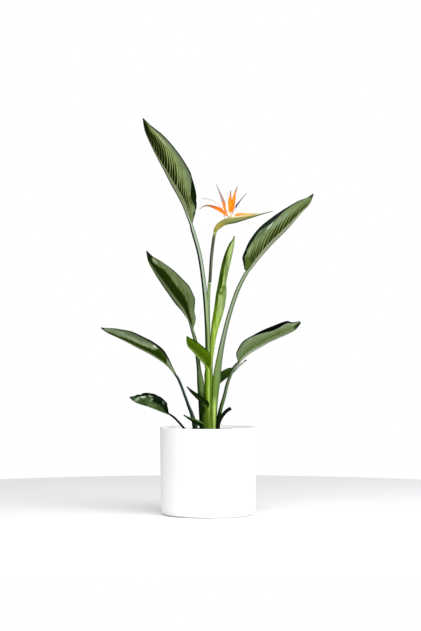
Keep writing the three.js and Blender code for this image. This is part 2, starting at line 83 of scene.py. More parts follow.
LIGHTS = {
    "window": {"place": (2.6, -2.4, 1.9), "size": 2.4, "power": 85},
    "ceiling": {"place": (0.2, -2.6, 3.2), "size": 3.0, "power": 110},
}
LIGHT_AIM = (0, 0, 0.6)
for name, light in LIGHTS.items():
    lamp = bpy.data.lights.new(name, "AREA")
    lamp.shape = "DISK"
    lamp.size = light["size"]
    lamp.energy = light["power"]
    holder = bpy.data.objects.new(name, lamp)
    holder.location = light["place"]
    aim = Vector(LIGHT_AIM) - Vector(light["place"])
    holder.rotation_euler = aim.to_track_quat("-Z", "Y").to_euler()
    scene.collection.objects.link(holder)


# The pot: a thin wall of white glazed earthenware, turned on a wheel.
# Its wall is almost straight, its foot is rounded, and the glaze is satin with a faint unevenness.
MM = 0.001


class Paint:
    """A socket of one material. Sums and products of values add their Math nodes."""

    def __init__(self, tree, socket=None):
        self.tree = tree
        self.socket = socket

    def node(self, kind, settings=None, inputs=None, output=0):
        """Any node: its settings are set first, then the values or links of its sockets."""
        made = self.tree.nodes.new("ShaderNode" + kind)
        for name, value in (settings or {}).items():
            if name == "stops":
                set_stops(made.color_ramp, value)
            else:
                setattr(made, name, value)
        for name, value in (inputs or {}).items():
            if isinstance(value, Paint):
                self.tree.links.new(value.socket, made.inputs[name])
            else:
                made.inputs[name].default_value = value
        return Paint(self.tree, made.outputs[output])

    def math(self, operation, *values):
        return self.node("Math", {"operation": operation}, dict(enumerate(values)))

    def absolute(self):
        return self.math("ABSOLUTE", self)

    def sine(self):
        return self.math("SINE", self)

    def __add__(self, other):
        return self.math("ADD", self, other)

    __radd__ = __add__

    def __mul__(self, other):
        return self.math("MULTIPLY", self, other)

    __rmul__ = __mul__

    def __sub__(self, other):
        return self.math("SUBTRACT", self, other)

    def __rsub__(self, other):
        return self.math("SUBTRACT", other, self)

    def step(self, low, high):
        """0 below low and 1 above high, with a smooth change between."""
        inputs = {"Value": self, "From Min": low, "From Max": high}
        return self.node("MapRange", {"interpolation_type": "SMOOTHSTEP"}, inputs)

    def mix(self, off, on):
        """The colour `off` where this is 0 and `on` where it is 1."""
        return self.node("Mix", {"data_type": "RGBA"}, {0: self, 6: off, 7: on}, 2)

    def ramp(self, *stops):
        """A grey value or a colour read from stops of (position, value)."""
        return self.node("ValToRGB", {"stops": stops}, {0: self})

    def place(self):
        """Object coordinates, which are the frame's own."""
        return self.node("TexCoord", output=3)

    def reading(self, name):
        """A value that the mesh carries at each of its points."""
        return self.node("Attribute", {"attribute_name": name}, output=2)

    def noise(self, scale, detail=3, stretch=(1, 1, 1)):
        """Soft grain of about 1 / scale metres, drawn out along the axes whose stretch is small."""
        where = self.node("Mapping", {}, {"Vector": self.place(), "Scale": stretch})
        return self.node("TexNoise", {}, {"Vector": where, "Scale": scale, "Detail": detail})


def set_stops(ramp, stops):
    """Puts stops of (position, grey value or colour) on a ramp, in the order of their positions."""
    while len(ramp.elements) < len(stops):
        ramp.elements.new(1)
    for element, (place, value) in zip(ramp.elements, sorted(stops, key=lambda stop: stop[0])):
        element.position = place
        element.color = value if isinstance(value, tuple) else (value, value, value, 1)


def tone(red, green, blue):
    """A colour from the 0 to 255 numbers of a colour chart, made linear."""
    part = np.array([red, green, blue]) / 255
    linear = np.where(part < 0.04045, part / 12.92, ((part + 0.055) / 1.055) ** 2.4)
    return (*linear.tolist(), 1)


def material(name, paint, bump=0.0005, **plain):
    """A material whose `paint` gives colour, roughness and height. Its other sockets are plain numbers."""
    made = bpy.data.materials.new(name)
    made.use_nodes = True
    tree = made.node_tree
    shader = tree.nodes["Principled BSDF"]
    for socket, value in plain.items():
        shader.inputs[socket.replace("_", " ")].default_value = value
    colour, roughness, height = paint(Paint(tree))
    raised = Paint(tree).node("Bump", {}, {"Height": height, "Distance": bump})
    for socket, value in (("Base Color", colour), ("Roughness", roughness), ("Normal", raised)):
        if isinstance(value, Paint):
            tree.links.new(value.socket, shader.inputs[socket])
        else:
            shader.inputs[socket].default_value = value
    return made


def shell(points, quads, triangles, readings):
    """A closed surface with its faces turned outwards: they are reversed if the volume that the faces
    enclose, the sum of the tetrahedra from the origin to each triangle, is negative."""
    fans = np.vstack([quads[:, [0, 1, 2]], quads[:, [0, 2, 3]], triangles])
    a, b, c = points[fans[:, 0]], points[fans[:, 1]], points[fans[:, 2]]
    if np.einsum("ij,ij->", a, np.cross(b, c)) < 0:
        quads, triangles = quads[:, ::-1], triangles[:, ::-1]
    return points, quads, triangles, readings


def tube(grid, readings):
    """The surface through rings of points grid[row, side], with a fan over each end ring's middle."""
    rows, sides, _ = grid.shape
    index = np.arange(rows * sides).reshape(rows, sides)
    after = np.roll(index, -1, axis=1)
    quads = np.stack([index[:-1], after[:-1], after[1:], index[1:]], axis=-1).reshape(-1, 4)
    ends = rows * sides + np.arange(2)
    first = np.stack([np.full(sides, ends[0]), after[0], index[0]], axis=-1)
    last = np.stack([np.full(sides, ends[1]), index[-1], after[-1]], axis=-1)
    points = np.vstack([grid.reshape(-1, 3), grid[0].mean(0), grid[-1].mean(0)])
    spread = {}
    for name, value in readings.items():
        value = np.broadcast_to(value, (rows, sides))
        spread[name] = np.append(value.ravel(), [value[0].mean(), value[-1].mean()])
    return shell(points, quads, np.vstack([first, last]), spread)


def piece(name, shells, skin, slot, *nodes, crease=50):
    """Puts closed surfaces into one mesh, which replaces the frame's nodes and rides on the root."""
    offset = np.cumsum([0] + [len(points) for points, *_ in shells])
    points = np.vstack([points for points, *_ in shells])
    quads = np.vstack([quads + start for (_, quads, _, _), start in zip(shells, offset)])
    triangles = np.vstack([tris + start for (_, _, tris, _), start in zip(shells, offset)])
    mesh = bpy.data.meshes.new(name)
    mesh.vertices.add(len(points))
    mesh.vertices.foreach_set("co", points.astype(np.float32).ravel())
    corners = np.concatenate([quads.ravel(), triangles.ravel()]).astype(np.int32)
    mesh.loops.add(len(corners))
    mesh.loops.foreach_set("vertex_index", corners)
    sizes = np.repeat([4, 3], [len(quads), len(triangles)])
    mesh.polygons.add(len(sizes))
    mesh.polygons.foreach_set("loop_start", (np.cumsum(sizes) - sizes).astype(np.int32))
    mesh.update(calc_edges=True)
    for reading in shells[0][3]:
        values = np.concatenate([readings[reading] for *_, readings in shells])
        held = mesh.attributes.new(reading, "FLOAT", "POINT")
        held.data.foreach_set("value", values.astype(np.float32))
    mesh.validate()
    mesh.polygons.foreach_set("use_smooth", np.ones(len(mesh.polygons), bool))
    mesh.set_sharp_from_angle(angle=math.radians(crease))
    mesh.materials.append(skin)
    made = bpy.data.objects.new(name, mesh)
    scene.collection.objects.link(made)
    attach(made, "root")
    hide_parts(*nodes)


POT_RADIUS = 140 * MM
POT_HEIGHT = 255 * MM
POT_TAPER = 3 * MM
POT_WALL = 5 * MM
POT_FLOOR = 8 * MM
POT_FOOT = 18 * MM
POT_SIDES = 192
AXIS_HOLE = 2 * MM
FLAT_STEPS = 12
FOOT_STEPS = 14
WALL_STEPS = 40
RIM_STEPS = 15
INSIDE_FOOT_STEPS = 8


def arc(middle, radius, start, end, steps):
    """Points on part of a circle: middle + radius (cos angle, sin angle)."""
    angle = np.radians(np.linspace(start, end, steps))
    return np.array(middle) + radius * np.stack([np.cos(angle), np.sin(angle)], axis=-1)


def turned(profile, sides):
    """A profile of (radius, height) carried round the Z axis: x = r cos a, y = r sin a, z = height."""
    angle = np.linspace(0, 2 * np.pi, sides, endpoint=False)
    radius, height = profile[:, :1], profile[:, 1:]
    across = [radius * np.cos(angle), radius * np.sin(angle), height + 0 * angle]
    return np.stack(across, axis=-1)


def line(start, end, steps):
    """Points on a straight line, without its two ends."""
    return np.linspace(start, end, steps)[1:-1]


# The profile runs from the middle of the underside round the foot and the rim to the middle inside.
base_radius = POT_RADIUS - POT_TAPER
flat_radius = base_radius - POT_FOOT
rim = POT_WALL / 2
rim_height = POT_HEIGHT - rim
foot = (flat_radius, POT_FOOT)
inside_foot = (flat_radius, POT_FLOOR + POT_FOOT - POT_WALL)
pot_profile = np.vstack([
    np.linspace((AXIS_HOLE, 0), (flat_radius - MM, 0), FLAT_STEPS),
    arc(foot, POT_FOOT, -90, 0, FOOT_STEPS),
    line((base_radius, POT_FOOT), (POT_RADIUS, rim_height), WALL_STEPS),
    arc((POT_RADIUS - rim, rim_height), rim, 0, 180, RIM_STEPS),
    line((POT_RADIUS - POT_WALL, rim_height), (base_radius - POT_WALL, inside_foot[1]), WALL_STEPS),
    arc(inside_foot, POT_FOOT - POT_WALL, 0, -90, INSIDE_FOOT_STEPS),
    np.linspace((flat_radius - MM, POT_FLOOR), (AXIS_HOLE, POT_FLOOR), FLAT_STEPS),
])


def glaze(paint):
    """White satin glaze: a breath of warm and cool unevenness, and fine low ripples from the wheel."""
    cloud = paint.noise(9, 2)
    grain = paint.noise(260, 4)
    wheel = paint.noise(60, 1, (0.02, 0.02, 1))
    colour = cloud.step(0.35, 0.7).mix(tone(243, 244, 245), tone(246, 247, 246))
    return colour, 0.3 + 0.12 * grain, 0.6 * grain + 0.4 * wheel


# The inner face glows a little: painted light that brightens the inner wall, which the rim and the dark
# soil shade. In the profile the inner face is what comes after the highest point.
UNLIT = tone(0, 0, 0)
PAINTED_INNER_LIGHT = tone(140, 140, 140)
white_glaze = material("white_glaze", glaze, bump=0.00012, Specular_IOR_Level=0.4, Emission_Strength=1)
glaze_tree = white_glaze.node_tree
painted_inner_light = Paint(glaze_tree).reading("inner").mix(UNLIT, PAINTED_INNER_LIGHT)
glaze_tree.links.new(painted_inner_light.socket, glaze_tree.nodes["Principled BSDF"].inputs["Emission Color"])
inner = np.arange(len(pot_profile)) > np.argmax(pot_profile[:, 1])
pot_shell = tube(turned(pot_profile, POT_SIDES), {"inner": inner[:, None]})
piece("planter", [pot_shell], white_glaze, "pot", "pot")


# The floor: a plain pale round of table top under the pot.
# It isn't part of the plant, so it is only a stage for it.
FLOOR_RADIUS = 1.5
FLOOR_SIDES = 128


def pale_floor(paint):
    return tone(250, 250, 250), 0.6, paint.noise(40)


floor_mesh = bpy.data.meshes.new("floor")
floor_angle = np.linspace(0, 2 * np.pi, FLOOR_SIDES, endpoint=False)
floor_rim = FLOOR_RADIUS * np.stack([np.cos(floor_angle), np.sin(floor_angle), 0 * floor_angle], axis=-1)
floor_mesh.from_pydata(floor_rim.tolist(), [], [tuple(range(FLOOR_SIDES))])
floor_mesh.materials.append(material("pale_floor", pale_floor, bump=0.0001))
floor = bpy.data.objects.new("floor", floor_mesh)
scene.collection.objects.link(floor)


# The soil: dark peaty potting mix that fills the pot to just below its rim.
# It is heaped a little towards the middle, and loose and crumbly on top.
SOIL_TOP = 242 * MM
SOIL_CROWN = 3 * MM
SOIL_EASE = 0.7 * MM
SOIL_LIFT = 0.3 * MM
SOIL_RINGS = 130
SOIL_SIDES = 360
CRUMB = 2.2 * MM
CRUMB_MEAN = 0.9
CRUMB_FADE = 4 * MM
CRUMB_KINDS = ((2.0, 0.016, 1), (1.2, 0.0065, 2), (0.8, 0.0028, 3))
GRID_CELLS = 256


def eased(t):
    """3 t^2 - 2 t^3, which leaves 0 gently and arrives at 1 gently."""
    return 3 * t**2 - 2 * t**3


def value_noise(x, y, cell, seed):
    """Smooth random heights: a random number at each corner of a square grid of `cell` metres,
    eased from corner to corner along both axes."""
    numbers = np.random.default_rng(seed).random((GRID_CELLS, GRID_CELLS))
    u, v = x / cell + GRID_CELLS / 2, y / cell + GRID_CELLS / 2
    i, j = np.floor(u).astype(int), np.floor(v).astype(int)
    s, t = eased(u - i), eased(v - j)
    corner = {(a, b): numbers[(i + a) % GRID_CELLS, (j + b) % GRID_CELLS] for a in (0, 1) for b in (0, 1)}
    low = corner[0, 0] * (1 - s) + corner[1, 0] * s
    high = corner[0, 1] * (1 - s) + corner[1, 1] * s
    return low * (1 - t) + high * t


def soil_grid():
    """The filling: a flat bottom, a wall, and a top of radius r where
    height = top + crown (1 - (r / R)^2) + crumbs of three kinds, each of a (share, size, seed)."""
    wall = POT_RADIUS - POT_WALL - SOIL_EASE
    bottom = base_radius - POT_WALL - SOIL_EASE
    lifted = POT_FLOOR + SOIL_LIFT
    below = [(AXIS_HOLE, lifted), (bottom - POT_FOOT, lifted), (bottom, POT_FLOOR + POT_FOOT)]
    surface = np.linspace((wall, SOIL_TOP - CRUMB_FADE), (AXIS_HOLE / 2, SOIL_TOP), SOIL_RINGS)
    grid = turned(np.vstack([below, surface]), SOIL_SIDES)
    top = grid[len(below):]
    radius = np.hypot(top[..., 0], top[..., 1])
    fade = np.clip((wall - radius) / CRUMB_FADE, 0, 1)
    crumbs = sum(
        share * np.abs(value_noise(top[..., 0], top[..., 1], cell, seed) - 0.5)
        for share, cell, seed in CRUMB_KINDS
    )
    crown = SOIL_CROWN * (1 - (radius / wall) ** 2)
    top[..., 2] = SOIL_TOP + crown + fade * CRUMB * (crumbs - CRUMB_MEAN)
    return grid


def peat(paint):
    """Near-black peat with brown fibres and a few paler grains."""
    crumb = paint.noise(420, 6)
    patch = paint.noise(35, 3)
    fleck = paint.noise(900, 2).step(0.72, 0.78)
    dark = patch.mix(tone(30, 24, 19), tone(64, 50, 38))
    colour = fleck.mix((0.6 * crumb).mix(dark, tone(20, 16, 13)), tone(150, 136, 112))
    return colour, 0.95, crumb


piece("potting_soil", [tube(soil_grid(), {})], material("peat", peat, bump=0.001), "soil", "soil")


# The large leaves: each is a leathery blade, folded along its thick pale midrib, on a long petiole
# that is channelled on its upper side. Fine pleats run from the midrib to the margin,
# the underside is bloomed grey-green, and the upper side, inside the fold, is dark and glossy.
# Light is painted into them too: the deep band by the midrib is partly painted shade, the grey-green
# zone is partly painted sheen, and the petioles carry painted shade and highlights.
ROOT_END = 208
ROOT_TOP = 239
STEM_FLATNESS = 0.85
BLADE_THICKNESS = 1.1 * MM
MARGIN_THICKNESS = 0.8 * MM
MIDRIB_HEIGHT = 2.6 * MM
MIDRIB_WIDTH = 3.5 * MM
MIDRIB_FADE = 0.8
MIDRIB_RUN = 0.16
MIDRIB_TAPER = 0.45
RIDGE_WIDTH = 0.45 * MIDRIB_WIDTH
FOLD_RADIUS = 0.35 * MIDRIB_WIDTH
LEAST_REACH = 3 * MM
FAR_PHASE = 0.35
PLEAT_HEIGHT = 0.14 * MM
VEIN_BEND = 1.2
COLUMN_CROWDING = 1.15
CHANNEL_DEPTH = 0.12
CHANNEL_WIDTH = 0.55
PETIOLE_RIBS = 12
PETIOLE_RIB_HEIGHT = 0.012
PETIOLE_ROWS = 130
PETIOLE_SIDES = 36


def cubic(start, end, leaves, arrives, w):
    """The cubic from start to end with the given slopes there, at the share w of the way."""
    bend = w**2 * (3 * (end - start) - 2 * leaves - arrives)
    return start + w * leaves + bend + w**3 * (2 * (start - end) + leaves + arrives)


def through(points, at):
    """Places on the smooth curve through the points, at fractional point numbers: a cubic between each two
    points, whose end slopes weigh the neighbouring spans by the square roots of their lengths."""
    around = np.vstack([2 * points[0] - points[1], points, 2 * points[-1] - points[-2]])
    k = np.clip(np.floor(at).astype(int), 0, len(points) - 2)
    w = (at - k)[:, None]
    a, b, c, d = (around[k + n] for n in range(4))
    spans = (b - a, c - b, d - c)
    ab, bc, cd = (np.sqrt(np.linalg.norm(span, axis=1, keepdims=True)) for span in spans)
    leaves = bc * ((b - a) / ab - (c - a) / (ab + bc) + (c - b) / bc)
    arrives = bc * ((c - b) / bc - (d - b) / (bc + cd) + (d - c) / cd)
    return cubic(b, c, leaves, arrives, w)


def even_cubic(sizes, at):
    """Sizes between the points: a cubic whose slope at a point is half the step between its neighbours."""
    around = np.concatenate([[2 * sizes[0] - sizes[1]], sizes, [2 * sizes[-1] - sizes[-2]]])
    k = np.clip(np.floor(at).astype(int), 0, len(sizes) - 2)
    w = at - k
    a, b, c, d = (around[k + n] for n in range(4))
    return cubic(b, c, (c - a) / 2, (d - b) / 2, w)


def unit(vectors):
    return vectors / np.linalg.norm(vectors, axis=-1, keepdims=True)


class Route:
    """A path through points [x, y, z, size] in millimetres, with the directions across it. Where it is
    rooted, it starts with an upright end in the soil."""

    def __init__(self, points, lean=1, rooted=True):
        if rooted:
            x, y, _, size = points[0]
            points = [[x, y, ROOT_END, size], [x, y, ROOT_TOP, size], *points]
        self.points = np.array(points, float) * MM
        self.lean = lean
        self.last = len(points) - 1

    def heading(self, i):
        """The path's direction, from a place just behind to one just ahead."""
        nudge = 1e-4 * self.last
        ahead = through(self.points[:, :3], np.clip(i + nudge, 0, self.last))
        behind = through(self.points[:, :3], np.clip(i - nudge, 0, self.last))
        return unit(ahead - behind)

    def at(self, i):
        """Place, inward and near directions, and size: inward is across the path in the plane of the front
        view, and near is square to the path and points to the front."""
        place = through(self.points[:, :3], i)
        along = self.heading(i)
        away = np.array([0.0, 1.0, 0.0])
        inward = self.lean * unit(np.cross(away, along))
        near = unit(along * along[:, 1:2] - away)
        return place, inward, near, even_cubic(self.points[:, 3], i)


def ringed(route, rows, sides, end=None, flatness=STEM_FLATNESS, radius_at=None, shape=None, **readings):
    """A tube along a route: place + r (inward cos a + flatness near sin a), where r is the route's size."""
    i = np.linspace(0, route.last if end is None else end, rows)
    place, inward, near, size = route.at(i)
    radius = size if radius_at is None else radius_at(i, size)
    angle = np.linspace(0, 2 * np.pi, sides, endpoint=False)
    factor = 1 if shape is None else shape(i[:, None], angle[None, :])
    r = radius[:, None] * factor
    out = (r * np.cos(angle))[..., None] * inward[:, None]
    out = out + (flatness * r * np.sin(angle))[..., None] * near[:, None]
    told = {"along": (i / i[-1])[:, None], "across": np.cos(angle)[None, :], **readings}
    return tube(place[:, None] + out, told)


def channelled(i, angle):
    """A petiole's section: round, with a shallow channel along its inward side, and fine ribs."""
    turn = np.abs(np.angle(np.exp(1j * angle)))
    channel = CHANNEL_DEPTH * np.exp(-((turn / CHANNEL_WIDTH) ** 2))
    return 1 - channel + PETIOLE_RIB_HEIGHT * np.cos(PETIOLE_RIBS * angle)


def sheet(outside, inside, readings):
    """Two faces of a thin sheet, as grids of the same size, joined all round their border."""
    rows, columns, _ = outside.shape
    index = np.arange(rows * columns).reshape(rows, columns)
    corners = [index[:-1, :-1], index[:-1, 1:], index[1:, 1:], index[1:, :-1]]
    quads = np.stack(corners, axis=-1).reshape(-1, 4)
    behind = rows * columns
    border = np.concatenate([index[0, :-1], index[:-1, -1], index[-1, :0:-1], index[:0:-1, 0]])
    after = np.roll(border, -1)
    edge = np.stack([after, border, border + behind, after + behind], axis=-1)
    points = np.vstack([outside.reshape(-1, 3), inside.reshape(-1, 3)])
    both = np.vstack([quads, quads[:, ::-1] + behind, edge])
    spread = {}
    for name, faces in readings.items():
        spread[name] = np.concatenate([np.broadcast_to(value, (rows, columns)).ravel() for value in faces])
    return shell(points, both, np.zeros((0, 3), int), spread)


def blade(route, start, near, far, wave, rows, columns, pleats, slant, dents):
    """A folded blade. Across it, t runs from -1 at the far margin through the midrib to 1 at the near
    one. A point stands share reach |t| inward and reach (open t + cup sin pi t) sideways, and the margins
    ripple. A dent (middle, length, depth, half) takes its depth off that half's share. Both faces stand
    half the thickness off that surface, and pleats run along lines of s - slant |t| (1 + bend |t|)."""
    s = np.linspace(0, 1, rows)
    place, inward, side, size = route.at(start + (route.last - start) * s)
    reach = np.maximum(size, LEAST_REACH)[:, None]
    t = np.linspace(-1, 1, 2 * columns + 1)[None, :]
    t = np.sign(t) * np.abs(t) ** COLUMN_CROWDING
    across = np.abs(t)
    along = s[:, None]
    sharp = FOLD_RADIUS / reach
    inset = (np.sqrt(across**2 + sharp**2) - sharp) / (np.sqrt(1 + sharp**2) - sharp)
    halves = []
    for half, sign, phase in ((far, -1, FAR_PHASE), (near, 1, 0)):
        ripple = wave["height"] * MM * across**2 * np.sin(np.pi * along)
        ripple = ripple * np.sin(2 * np.pi * (wave["count"] * along + phase))
        sideways = sign * (reach * (half["open"] * across + half["cup"] * np.sin(np.pi * across)) + ripple)
        share = half.get("share", 1)
        for middle, length, depth, dented in dents:
            if dented == sign:
                share = share - depth * np.exp(-(((along - middle) / length) ** 2)) * across**3
        halves.append((share * reach * inset, sideways))
    is_near = t >= 0
    inwards = np.where(is_near, halves[1][0], halves[0][0])
    sideways = np.where(is_near, halves[1][1], halves[0][1])
    middle = place[:, None] + inwards[..., None] * inward[:, None] + sideways[..., None] * side[:, None]
    normal = -route.lean * unit(np.cross(np.gradient(middle, axis=0), np.gradient(middle, axis=1)))
    thick = BLADE_THICKNESS + (MARGIN_THICKNESS - BLADE_THICKNESS) * across
    ridge = MIDRIB_HEIGHT * (1 - MIDRIB_FADE * along) * np.exp(-((across * reach / RIDGE_WIDTH) ** 2))
    vein = along - slant * across * (1 + VEIN_BEND * across)
    calm = np.clip(across * 6, 0, 1) * np.clip((1 - across) * 8, 0, 1)
    calm = calm * np.sin(np.pi * np.clip(along, 0.02, 0.98)) ** 0.5
    pleat = PLEAT_HEIGHT * calm * np.cos(2 * np.pi * pleats * vein)
    outside = middle + (thick / 2 + ridge + pleat)[..., None] * normal
    inside = middle + (pleat - thick / 2)[..., None] * normal
    told = {"along": (along, along), "across": (t, t), "face": (0, 1)}
    return sheet(outside, inside, told)


def leaf_skin(look):
    """Leaf surface. `across` runs from the midrib to a margin and `along` from the base to the tip. First
    comes a pale midrib, then a deep green band whose edge runs out in fingers along the pleats, then a
    lighter zone with thin dark lines, a greyer one and a dark margin. The deep band is partly painted shade
    and the lighter zones are partly painted sheen. Patches lie over these, some of them painted highlights,
    sheen or shade, and the inner face (1), the petiole (2) and the tip have colours of their own: the inner
    face is mostly darkened as painted shade, and the petiole carries painted shade and a painted highlight."""

    def paint_leaf(paint):
        along = paint.reading("along")
        signed = paint.reading("across")
        across = signed.absolute()
        face = paint.reading("face")
        cloud = paint.noise(38, 3)
        grain = paint.noise(700, 2)
        pleat = (along - look["slant"] * across * (1 + VEIN_BEND * across)) * look["pleats"]
        on_leaf = paint.node("CombineXYZ", {}, {"X": pleat, "Y": 1.5 * across, "Z": look["pleats"]})
        vein = paint.node("TexNoise", {}, {"Vector": on_leaf, "Scale": 0.8, "Detail": 3})
        turns = 2 * math.pi * (pleat + 0.7 * (vein - 0.5))
        finger = 0.75 * turns.sine() + 1.6 * (vein - 0.5)
        low = along.ramp(*look["band_low"])
        high = along.ramp(*look["band_high"])
        wander = 0.1 * (cloud - 0.5) + look["ragged"] * finger
        level = 0.5 + (across - high + wander) * (0.5 / look["soft"])
        # The grey-green zone: partly the underside's bloom, partly painted sheen.
        bloom_and_sheen = (0.6 * cloud + 0.6 * vein).step(0.35, 0.85)
        pale = bloom_and_sheen.mix(tone(*look["pale"]), tone(*look["pale_light"]))
        # The deep green band by the midrib is partly painted shade.
        colour = level.step(0, 0.45).mix(tone(*look["deep"]), tone(*look["deep_light"]))
        colour = level.step(0.35, 0.7).mix(colour, tone(*look["mid"]))
        colour = level.step(0.6, look["pale_from"]).mix(colour, pale)
        colour = (1 - (across - low).step(-0.03, 0.04)).mix(colour, tone(*look["mid"]))
        colour = (look["outer_share"] * across.step(0.65, 1)).mix(colour, tone(*look["outer"]))
        thin = (0 - finger).step(0.1, 0.8) * (1 - across.step(look["lines_to"] - 0.4, look["lines_to"]))
        colour = (look["lines"] * thin * level.step(0.4, 0.8)).mix(colour, tone(*look["line"]))
        light = finger.step(0.2, 0.9) * look["stripes"] * along.ramp(*look["stripe_run"])
        light = light * (1 - (across - high).step(0, 0.5))
        colour = light.mix(colour, tone(*look["stripe"]))
        # Patches: some are the leaf's own marks, others painted highlights, sheen or shade.
        for s, t, length, width, shade, strength in look["patches"]:
            from_middle = (along - s) * (1 / length)
            from_side = (across - t) * (1 / width)
            reach = from_middle * from_middle + from_side * from_side
            within = 1 - (reach + 0.8 * (cloud - 0.5) - 0.5 * finger).step(0.4, 1.1)
            colour = (strength * within).mix(colour, tone(*shade))
        rib = 1 - (across - along.ramp(*look["rib_to"])).step(-0.015, 0.015)
        line = across.step(0.4 * look["rib_line"], look["rib_line"])
        colour = rib.mix(colour, line.mix(tone(*look["rib"]), tone(*look["rib_light"])))
        margin = (across - along.ramp(*look["margin_from"]) + 0.03 * cloud).step(-0.01, 0.04)
        colour = margin.mix(colour, tone(*look["margin"]))
        # The inner face of the fold: on most leaves dark green darkened further as painted shade.
        upper_face = finger.step(-0.8, 1.4).mix(tone(*look["inside"]), tone(*look["inside_light"]))
        inner = face.step(0.4, 0.6) * (1 - face.step(1.4, 1.6))
        colour = inner.mix(colour, upper_face)
        tip = (along - look["tip_from"] + 0.01 * cloud).step(0, 0.02) * (1 - face.step(0.4, 0.6))
        colour = tip.mix(colour, tone(*look["tip"]))
        colour = face.step(1.4, 1.6).mix(colour, stem_colour_and_shade(paint, look["stem_zones"], along, signed))
        return colour, 0.5 + 0.15 * cloud - 0.12 * inner, 0.5 * grain + 0.5 * vein

    return paint_leaf


def stem_colour_and_shade(paint, zones, along, side):
    """A petiole's colours, streaked along its length, with painted shade along its dark side and a painted
    highlight in its pale stripe. Each zone, from the top one down, holds the share of the length where it
    ends and its colours as stops from the left side to the right."""
    streak = paint.noise(160, 3, (1, 1, 0.03))
    turn = 0.5 + 0.5 * side + 0.1 * (streak - 0.5)
    colour = None
    for end, shades in zones:
        zone = turn.ramp(*[(place, tone(*shade)) for place, shade in shades])
        colour = zone if colour is None else (1 - along.step(end - 0.03, end + 0.03)).mix(colour, zone)
    return colour


# How a half of a blade opens: `open` tilts it off the fold's plane, `cup` bows it, and `share` is its width
# as a share of the route's size. A negative share turns the half outwards.
TROUGH = {"open": 0.35, "cup": 0.2}
WIDE = {"open": 0.95, "cup": 0.12, "share": -0.12}
SHUT = {"open": 0.08, "cup": 0.1}

# Colours are red, green and blue from 0 to 255. Stops of (along, across) say where the deep band starts
# and ends, how far the midrib's colour reaches and where the margin's starts. A patch is (along, across,
# length, width, colour, strength). What a leaf doesn't give, it takes from here. Besides the leaves' own
# colours, the deep and pale colours, some patches, the inside and the stem zones hold painted shade,
# sheen and highlights.
DARK_LOOK = {
    "pleats": 20, "slant": 0.15, "ragged": 0.05, "soft": 0.1,
    "deep": (20, 36, 0), "deep_light": (38, 60, 4), "mid": (92, 108, 48),
    "pale": (82, 100, 62), "pale_light": (126, 144, 110), "pale_from": 0.9, "outer": (84, 96, 72),
    "outer_share": 0.3,
    "band_low": ((0, 0.06), (1, 0.0)), "band_high": ((0, 0.5), (1, 0.5)),
    "line": (70, 86, 44), "lines": 0.2, "lines_to": 1.0,
    "stripe": (140, 156, 92), "stripes": 0.0, "stripe_run": ((0, 1), (1, 1)),
    "rib": (30, 40, 22), "rib_light": (150, 166, 130), "rib_line": 0.03,
    "rib_to": ((0, 0.07), (0.5, 0.035), (1, 0.01)),
    "margin": (18, 26, 16), "margin_from": ((0, 0.95), (1, 0.95)),
    # inside: the dark upper face, darkened to near-black as painted shade.
    "inside": (8, 16, 2), "inside_light": (30, 48, 12), "tip": (38, 40, 28), "tip_from": 0.95,
    "patches": [],
}
SMALL_LOOK = {
    "pleats": 8, "slant": 0.25, "lines": 0.1, "outer_share": 0.0, "band_high": ((0, 1.2), (1, 1.2)),
}

